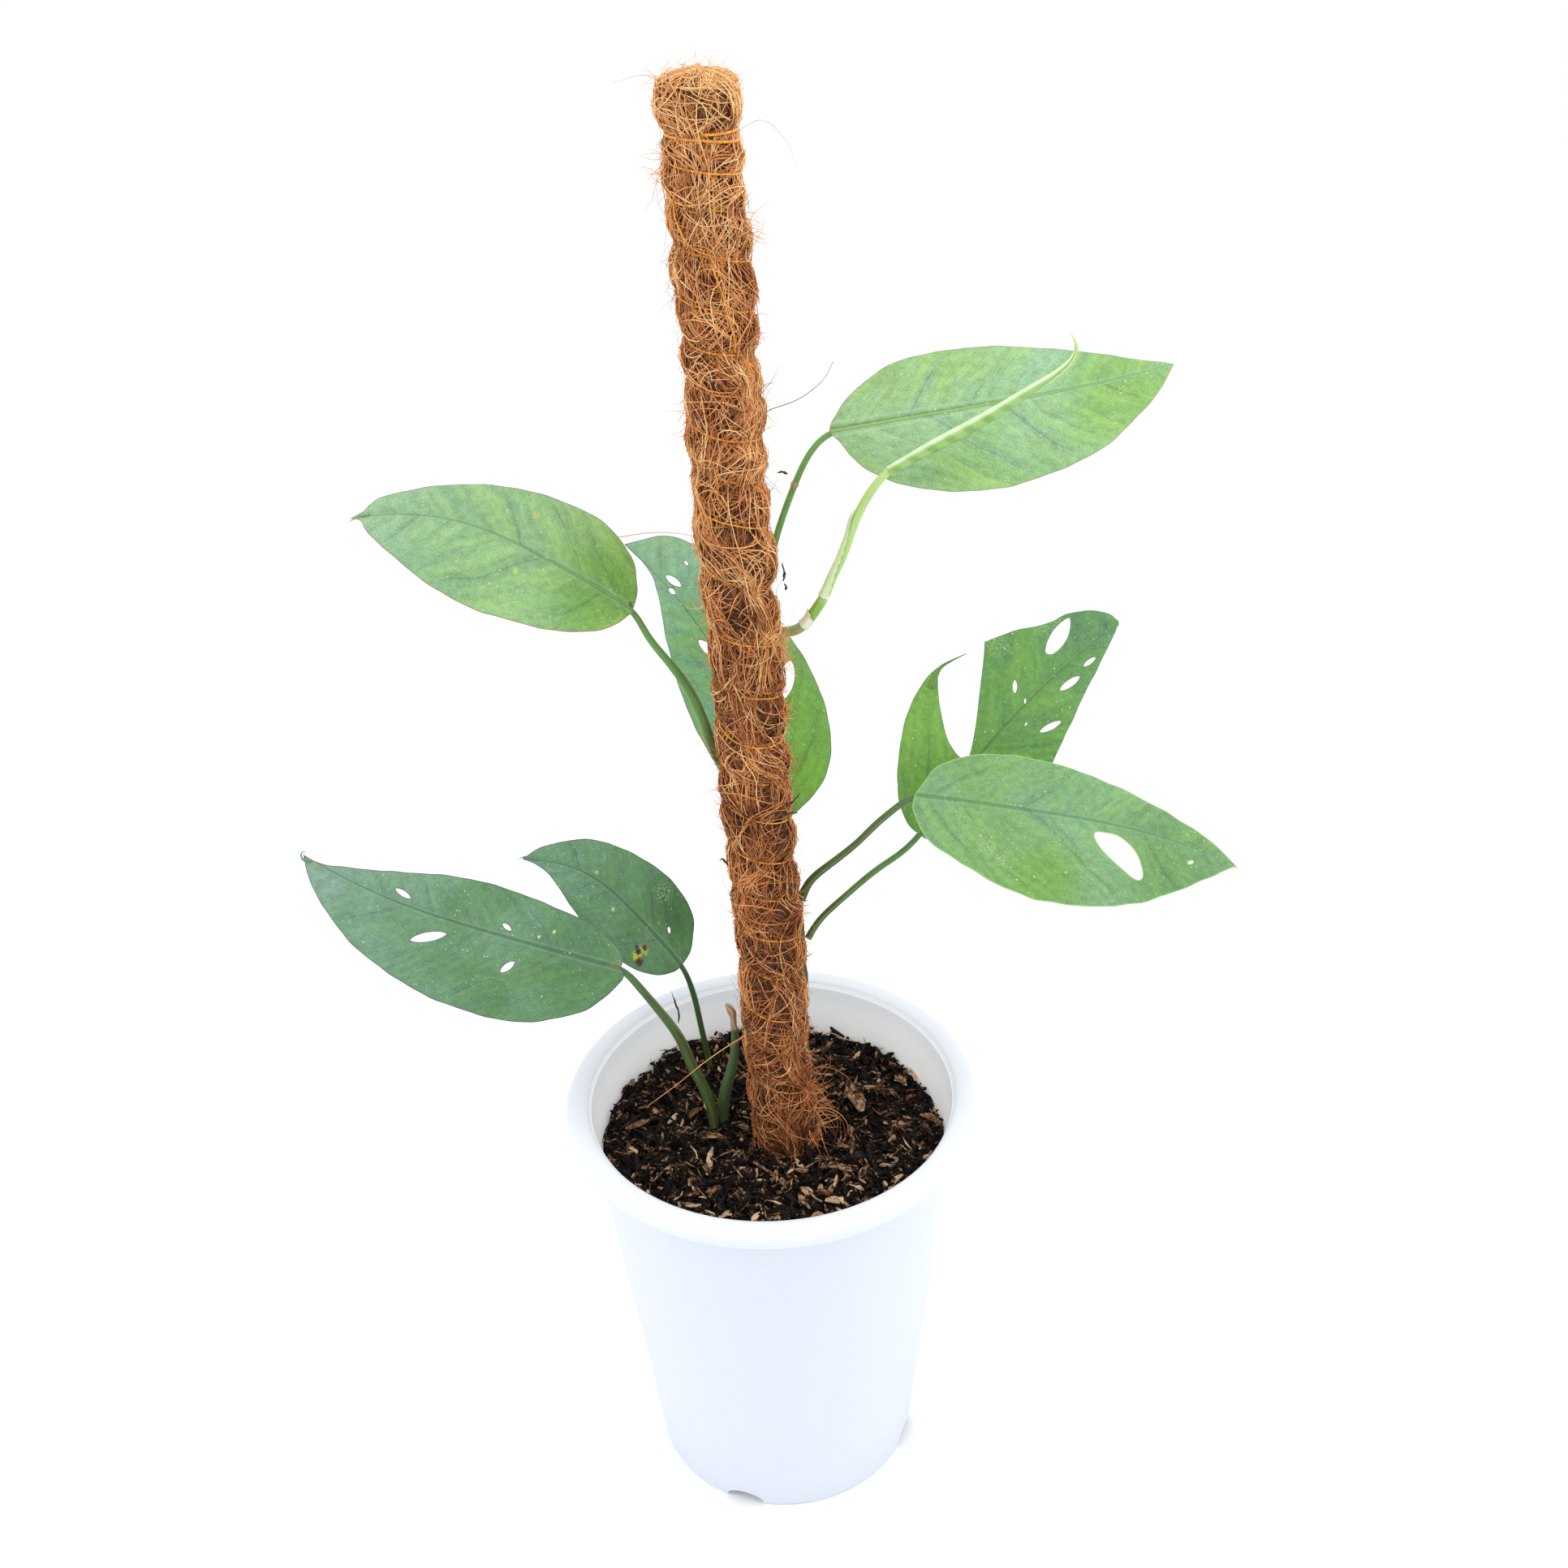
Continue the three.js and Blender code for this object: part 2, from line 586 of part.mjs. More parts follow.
// A prism through the blade under a closed outline drawn in the blade's plane
function bladeCutter(outline, frame) {
  const reach = 30;
  const shape = new THREE.Shape(outline.map(([x, y]) => new THREE.Vector2(x, y)));
  const prism = new THREE.ExtrudeGeometry(shape, { depth: 2 * reach, bevelEnabled: false });
  prism.translate(0, 0, -reach);
  prism.applyMatrix4(frame.matrix);
  return toSolid(prism);
}

// Outline of a hole: an oval with pointed ends, lying at an angle
function holeOutline([x, y, length, width, angle]) {
  const sides = width > 7 ? 12 : 8;
  const turn = radians(angle);
  return Array.from({ length: sides }, (_, k) => {
    const way = (2 * Math.PI * k) / sides;
    const u = (length / 2) * Math.cos(way);
    const v = (width / 2) * Math.sin(way) * Math.abs(Math.sin(way)) ** 0.35;
    return [x + u * Math.cos(turn) - v * Math.sin(turn), y + u * Math.sin(turn) + v * Math.cos(turn)];
  });
}

// The raised midrib under the blade
function midribSolid(leaf, frame) {
  const stalk = leaf.girth.at(-1);
  const shares = [0, 0.1, 0.25, 0.4, 0.55, 0.7, 0.86];
  const route = shares.map((share) => {
    const x = share ? share * frame.length : -RIB_START;
    return frame.at(x, frame.midrib(x), -BLADE_THICKNESS / 2 - 0.25 * stalk * (1 - share));
  });
  const girth = shares.map((share) => THREE.MathUtils.lerp(stalk, 0.45, share ** 0.7));
  return sweep(route, girth, { sides: 5, steps: 8 });
}

function makeLeaf(leaf, material) {
  const frame = leafFrame(leaf);
  let blade = bladeSolid(leaf, frame);
  for (const outline of [...leaf.holes.map(holeOutline), ...(leaf.split ? [leaf.split] : [])]) {
    blade = blade.subtract(bladeCutter(outline, frame));
  }
  blade = blade.add(midribSolid(leaf, frame));
  // The petiole bends into line with the midrib and stops just short of it
  const bendIn = [frame.at(-4.4, 0, -1.3), frame.at(-RIB_START - 2.2 * CLEARANCE, 0, -0.8)];
  const petiole = sweep([...leaf.petiole, ...bendIn], leaf.girth);
  return [
    piece(`${leaf.name}_blade`, blade, material),
    piece(`${leaf.name}_petiole`, petiole, MATERIALS.stem),
  ];
}

// The rolled blade's section is a snail: its radius grows round the section and steps back at the seam
function makeNewLeaf() {
  const { route, girth, seamStep, seamTurns } = NEW_BLADE;
  const shape = (share, round) => {
    const place = (round + seamTurns * share) % 1;
    return 1 + seamStep * (place - 0.5);
  };
  const roll = sweep(route, girth, { sides: 10, steps: 18, shape });
  const { route: strip, width, thickness } = SHEATH;
  const line = new THREE.CatmullRomCurve3(strip.map((p) => new THREE.Vector3(...p)));
  const rings = [];
  for (let i = 0; i <= 8; i += 1) {
    const share = i / 8;
    const [x, y, z] = line.getPointAt(share).toArray();
    const half = along(width, share);
    rings.push([
      [x - half, y + half, z],
      [x - thickness, y - thickness, z],
      [x + half, y - half, z],
      [x + thickness, y + thickness, z],
    ]);
  }
  return [
    makeStem('new_leaf_stalk', NEW_STALK, MATERIALS.newLeaf),
    piece('new_leaf_roll', roll, MATERIALS.newLeaf),
    piece('new_leaf_sheath', skin(rings), MATERIALS.sheath),
  ];
}

// Soil

function soilHeight(x, y) {
  const coarse = 1.6 * Math.sin(0.11 * x + 0.6) * Math.cos(0.09 * y + 0.3);
  const fine = 1.1 * Math.sin(0.31 * x + 1.7) * Math.sin(0.27 * y + 0.4);
  const rise = SOIL_SLOPE[0] * x + SOIL_SLOPE[1] * y;
  const dip = 4 * Math.exp(-((x - SOIL_DIP[0]) ** 2 + (y - SOIL_DIP[1]) ** 2) / 220);
  return SOIL_LEVEL + rise + coarse + fine - dip;
}

function soilBody() {
  const rings = [];
  const outer = innerRadius(SOIL_LEVEL) - SOIL_WALL_GAP;
  const bottom = POT.floorTop + CLEARANCE;
  const ring = (radius, heightAt) => Array.from({ length: SOIL_SEGMENTS }, (_, k) => {
    const angle = (2 * Math.PI * k) / SOIL_SEGMENTS;
    const [x, y] = [radius * Math.cos(angle), radius * Math.sin(angle)];
    return [x, y, heightAt(x, y)];
  });
  rings.push(ring(innerRadius(bottom) - SOIL_WALL_GAP, () => bottom));
  for (let i = SOIL_RINGS; i >= 1; i -= 1) {
    rings.push(ring((outer * i) / SOIL_RINGS, soilHeight));
  }
  return skin(rings);
}

// Chips of bark lying on the soil, clear of the stems and the pole
function soilChips(stems) {
  const random = seededRandom(11);
  const between = ([low, high]) => THREE.MathUtils.lerp(low, high, random());
  const chips = [];
  while (chips.length < CHIP_COUNT) {
    const reach = innerRadius(SOIL_LEVEL) - 9;
    const radius = reach * Math.sqrt(random());
    const angle = 2 * Math.PI * random();
    const [x, y] = [radius * Math.cos(angle), radius * Math.sin(angle)];
    const [length, width, thickness] = [CHIP_LENGTH, CHIP_WIDTH, CHIP_THICKNESS].map(between);
    const chip = new THREE.BoxGeometry(length, width, thickness);
    chip.applyMatrix4(new THREE.Matrix4().makeRotationFromEuler(new THREE.Euler(
      radians(between([-20, 20])),
      radians(between([-22, 22])),
      2 * Math.PI * random(),
      'ZYX',
    )));
    chip.translate(x, y, soilHeight(x, y) + 0.2 * thickness);
    if (stems.every((stem) => Math.hypot(x - stem.x, y - stem.y) > stem.radius + length / 2 + 1)) {
      chips.push(toSolid(chip));
    }
  }
  return chips;
}

function makeSoil(coreRoom) {
  const depth = 14;
  const stemHole = ([x, y, z], radius) => ({ x, y, bottom: z - CLEARANCE, radius: radius + CLEARANCE + 0.4 });
  const sleeveFoot = poleAxis(POLE.sleeveBottom);
  const vineFoot = polePoint(VINE_OFFSET, radians(VINE_ROUTE[0][1]), VINE_ROUTE[0][0]);
  const holes = [
    stemHole(sleeveFoot, POLE.sleeveRadius + POLE.bulge + 0.7),
    stemHole(vineFoot, VINE_RADIUS + 0.3),
    stemHole(OLD_STEM.route[0], OLD_STEM.girth[1]),
    ...LEAVES.slice(0, 2).map((leaf) => stemHole(leaf.petiole[0], leaf.girth[1])),
  ];
  let soil = soilBody();
  for (const chip of soilChips(holes)) soil = soil.add(chip);
  for (const { x, y, bottom, radius } of holes) {
    const hole = new THREE.CylinderGeometry(radius + 0.4, radius, 2 * depth, 16);
    hole.rotateX(Math.PI / 2);
    hole.translate(x, y, bottom + depth);
    soil = soil.subtract(toSolid(hole));
  }
  soil = soil.subtract(coreRoom);
  const whole = soil.decompose().sort((a, b) => b.volume() - a.volume())[0];
  return piece('soil', whole, MATERIALS.soil);
}

// Assembly

const plant = new THREE.Group();
const { core, coreRoom } = makeCore();
plant.add(makePot(), makeSoil(coreRoom), core, makeSleeve(coreRoom), makeThread(), makeVine());
plant.add(makeStem('old_stem', OLD_STEM, MATERIALS.stem), makeStem('old_stem_dry_end', DRY_END, MATERIALS.wood));
LEAVES.forEach((leaf, i) => plant.add(...makeLeaf(leaf, i < 2 ? MATERIALS.lowLeaf : MATERIALS.leaf)));
plant.add(...makeNewLeaf());

const middle = new THREE.Box3().setFromObject(plant).getCenter(new THREE.Vector3());
plant.position.set(-Math.round(middle.x * 10) / 10, -Math.round(middle.y * 10) / 10, 0);

export default plant;
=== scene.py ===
# A cebu blue pothos on a coir pole: the looks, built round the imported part.
# Shapes are worked out in millimetres in the pot's own frame (the pot's axis is x = y = 0, its foot is
# z = 0). add_piece() turns them into metres in the part's frame.

import json
import math

import bmesh
import bpy
import numpy as np
from mathutils import Matrix, Vector, noise
from mathutils.geometry import delaunay_2d_cdt

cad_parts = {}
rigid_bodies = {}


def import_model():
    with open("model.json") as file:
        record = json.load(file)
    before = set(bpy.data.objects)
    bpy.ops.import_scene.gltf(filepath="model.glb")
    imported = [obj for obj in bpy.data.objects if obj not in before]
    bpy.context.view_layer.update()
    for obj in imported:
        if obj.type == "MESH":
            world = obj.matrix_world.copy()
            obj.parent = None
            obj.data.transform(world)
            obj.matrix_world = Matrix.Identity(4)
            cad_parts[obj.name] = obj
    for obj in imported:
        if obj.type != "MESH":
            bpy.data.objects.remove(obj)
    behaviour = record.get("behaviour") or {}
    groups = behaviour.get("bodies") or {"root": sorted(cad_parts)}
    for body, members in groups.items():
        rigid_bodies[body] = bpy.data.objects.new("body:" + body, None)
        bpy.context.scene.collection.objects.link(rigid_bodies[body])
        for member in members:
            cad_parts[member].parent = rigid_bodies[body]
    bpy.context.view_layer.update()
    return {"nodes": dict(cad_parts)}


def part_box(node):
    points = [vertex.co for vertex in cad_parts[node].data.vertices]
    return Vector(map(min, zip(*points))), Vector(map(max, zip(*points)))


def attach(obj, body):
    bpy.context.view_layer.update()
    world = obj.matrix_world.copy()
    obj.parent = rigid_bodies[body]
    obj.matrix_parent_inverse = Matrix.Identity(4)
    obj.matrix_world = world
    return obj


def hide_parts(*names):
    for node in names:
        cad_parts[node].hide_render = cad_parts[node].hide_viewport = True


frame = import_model()
pot_low, pot_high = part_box("pot")
PLACE = np.array([(pot_low.x + pot_high.x) / 2, (pot_low.y + pot_high.y) / 2, 0.0])
MM = 0.001
TURN = 2 * math.pi
random = np.random.default_rng(23)

# Camera: place in millimetres, angles in degrees, focal length for a 36 mm wide sensor
CAMERA_PLACE = (0, -702, 807)
CAMERA_FOCAL = 42.857
CAMERA_PITCH = 30.66
CAMERA_YAW = 1.0
CAMERA_ROLL = -2.37

# Floor and lights, in metres. Lights are name, place, size, power; all of them face one point
FLOOR_REACH = 14.0
LIGHT_AIM = (0.0, 0.0, 0.35)
LIGHTS = [
    ("left_light", (-1.1, -0.1, 1.0), 0.9, 3.5),
    ("right_light", (1.1, -0.1, 1.0), 0.9, 4.6),
    ("top_light", (-0.1, -0.3, 2.2), 1.2, 7.0),
]

# Pot, as (radius, height) of its outside, rim and inside, the same sizes as the CAD pot
POT_OUTSIDE = [
    (62.0, 7.5), (63.2, 1.0), (63.9, 0.0), (65.3, 0.0), (66.1, 0.8), (66.3, 3.5), (89.7, 215.0),
    (90.2, 217.5), (91.2, 218.2),
]
POT_RIM = [
    (96.2, 217.9), (97.6, 216.8), (98.1, 215.0), (98.1, 212.7), (98.5, 212.1), (99.3, 212.1), (99.9, 212.9),
    (100.0, 214.4), (99.6, 216.5), (98.5, 218.2), (96.8, 219.4), (94.6, 220.0), (91.8, 219.9), (89.6, 219.3),
    (88.4, 218.4), (87.9, 217.4),
]
POT_INSIDE = [(87.75, 216.9), (87.35, 216.6), (87.2, 215.8), (64.7, 9.9), (63.9, 9.5)]
POT_FLOOR = (7.5, 9.5)
POT_SEGMENTS = 160
POT_SHARP = 40
# Heights in metres between which the wall's colour turns into the rim's, which is lighter than the outside wall:
# a painted highlight, as the rim is the same plastic
RIM_HIGHLIGHT_HEIGHTS = (0.205, 0.213)
NOTCH_ANGLE = 248.8
NOTCH_WIDTH = 20
NOTCH_HEIGHT = 7
NOTCH_REACH = (58, 72)
DRAIN_RADIUS = 5
DRAIN_RING = 52
# The thin plastic lets light through, so its inside is lighter than the light from above would make it. This is
# painted light: the inside gives off a faint white light of its own
GLOW = 0.19

# Potting mix
SOIL_LEVEL = 189.5
SOIL_SLOPE = (-0.012, 0.035)
SOIL_DIP = (-29, 12)
SOIL_REACH = 85.3
# Radius and height of the underside
SOIL_FOOT = (64.2, 10.0)
CHIP_COUNT = 4700
NEEDLE_COUNT = 900
CRUMB_COUNT = 3600
# Chips that stand out: x, y, length, width, heading in degrees
BIG_CHIPS = [
    (-32, 4.5, 17, 4.2, -15), (42, 22, 22, 8, -78), (-63, -19, 8, 2, -18), (-16, 8, 13, 3.5, -42),
    (29, -27, 16, 4, -24), (-35, -19, 14, 2.6, -57), (78, 4, 12, 4, -36), (-10, 42, 11, 6, 20),
    (-4, -26, 18, 1.2, -43), (13, -45, 12, 2.6, -66), (-67, 11, 14, 3, 35), (55, -40, 13, 3, 40),
    (-50, -50, 10, 3, 80), (20, 60, 14, 4, 10), (66, 36, 12, 4, -70),
]

# Pole
POLE_FOOT = np.array([6, 0, 185.0])
POLE_HEAD = np.array([-8.5, 0, 685.0])
SLEEVE_BOTTOM = 183
SLEEVE_TOP = 687.5
DOME_HEIGHT = 12
DOME_SQUARE = 0.64
SLEEVE_RADIUS = 15.3
# Where the sleeve's side ends, and how far the coir goes up its side and on over its top
DOME_START = SLEEVE_TOP - DOME_HEIGHT
SLEEVE_REACH = DOME_START + SLEEVE_RADIUS * math.pi / 2
BED_ROWS = 260
BED_COLUMNS = 64
FIBRE_COUNT = 7600
FIBRE_LAYERS = 4
FIBRE_POINTS = 10
LOCK_SIZE = 6
HAIR_COUNT = 1100
THREAD_RADIUS = 0.34
THREAD_STEPS = 40
PINCH_REACH = 3.6
THREAD_TURNS = np.array([
    668, 666, 655, 642, 624, 605, 588, 572, 554, 537, 519, 491, 466,
    441, 418, 399, 380, 359, 338, 317, 295, 272, 250, 228, 208,
], float)
FRONT = -math.pi / 2
# Slack ends of the thread that slant across the coir: (degrees round the pole, height)
THREAD_STRAYS = [
    [(-160, 648), (-145, 642), (-129, 634), (-116, 628), (-88, 625), (-57, 623)],
    [(-91, 622), (-82, 615), (-74, 606), (-66, 593), (-62, 588)],
    [(-50, 587), (-46, 585), (-31, 581), (-12, 575)],
]
# Long loose fibres: radius, tone, points in millimetres
LOOSE_FIBRES = [
    (0.24, 0.66, [(-11, -11, 262), (-19, -13, 258), (-30, -15, 251), (-45, -17, 239), (-59, -19, 229)]),
    (0.22, 0.16, [(2, -10, 559), (12, -4, 562), (24, -1, 565), (34, 0, 572), (38, 0, 579)]),
    (0.2, 0.5, [(-52, -4, 512), (-34, -3, 513), (-18, -6, 511), (-12, -12, 508)]),
    (0.2, 0.6, [(18, -8, 214), (30, -9, 212), (36, -10, 203), (33, -12, 192)]),
    (0.18, 0.66, [(15, -9, 262), (28, -8, 259), (38, -6, 252), (44, -5, 250)]),
    (0.07, 0.2, [(-14, -9, 680), (-26, -8, 688), (-38, -8, 686)]),
    (0.15, 0.5, [(17, -9, 206), (25, -11, 214), (33, -10, 207), (35, -12, 193)]),
    (0.15, 0.4, [(16, -11, 222), (26, -12, 219), (31, -12, 208), (29, -14, 195)]),
    (0.14, 0.56, [(15, -8, 236), (26, -9, 239), (36, -8, 232), (41, -8, 222)]),
    (0.07, 0.2, [(4, -12, 668), (14, -12, 672), (22, -13, 665), (26, -13, 655)]),
]
# Tufts of hairs that stand out of the coir: degrees round the pole, height, hairs, length
TUFTS = [
    (-12, 404, 22, 9), (-8, 428, 16, 8), (-172, 405, 14, 8), (-165, 380, 12, 7), (-15, 455, 18, 9),
    (-20, 632, 20, 9), (-165, 655, 18, 10), (-170, 560, 12, 8), (-10, 560, 12, 8), (-30, 345, 14, 8),
    (-5, 222, 34, 12), (-20, 205, 30, 13), (-160, 330, 12, 8), (-178, 470, 12, 10), (8, 300, 26, 6),
    (6, 322, 26, 6), (0, 457, 34, 8), (-150, 690, 20, 8), (-40, 690, 20, 8),
]
# Dark dried scraps of bark and bract, as points in millimetres
SCRAPS = [
    [(11, -11, 388), (13.5, -10, 386), (16.5, -9, 388), (19, -8.4, 391)],
    [(10, -12, 383), (12.4, -11, 381.6), (15, -10, 382), (18, -9, 381)],
    [(-12, -6, 352), (-14.6, -5, 354), (-16.6, -4, 356), (-18.4, -4, 355)],
    [(-42.6, 7, 257), (-42, 6.4, 264), (-43, 6, 269), (-44.6, 6, 277)],
    [(15, -5, 498), (15.9, -4, 493), (15.4, -4, 489.6)],
    [(15.6, -4.6, 488.6), (16.4, -4.8, 487.2), (16, -5, 485.8)],
    [(14.6, -5, 536.6), (16.4, -5, 537), (18.6, -5, 536)],
]

# Climbing stem: (height, angle round the pole in degrees)
VINE_RADIUS = 3.2
VINE_OFFSET = 20.2
VINE_ROUTE = [
    (176, 62), (205, 60), (245, 54), (290, 48), (318, 50), (348, 66), (386, 74), (420, 66), (446, 50),
    (456, 42),
]
VINE_NODES = [290, 318, 348, 386, 444]
ROOT_HEIGHTS = [*VINE_NODES[:-1], 220, 252, 400]

# Leaf blades, as in the CAD source: base and tip of the blade, where its upper side looks (degrees to the
# right of straight forward, degrees above level), outline points on its left and right, and holes as
# (x, y, length, width, angle); gaps are openings drawn by their own outline. green and second are the
# blade's two greens: second, a bluer green mixed in more towards the tip and by the side veins, is partly
# the leaf's own blue-grey tint and partly a painted sheen. edge is its margin, stalk its petiole. washes
# are soft patches of colour (x, y, radius, colour, strength): some are the leaf's own tints, others painted
# light and shade, such as a bluish painted sheen, darker painted shade on one side of a blade, and bright
# yellow-green painted glow where light shines through it. spots are small marks (x, y, radius, colour),
# scuffs are places with pale scratches (x, y, radius). browning is how far up the stalk its brown edges go,
# rib_width and rib_light are how wide and how pale the midrib is.
THICKNESS = 0.5
GRID = 1.15
MARGIN_CURL = 4
MIDRIB_FOLD = 0.08
MARGIN_WAVE = 1.1
HALF_WIDTH = 30
VEIN_STEP = 16
VEIN_LEAN = 0.8
VEIN_BEND = 0.011
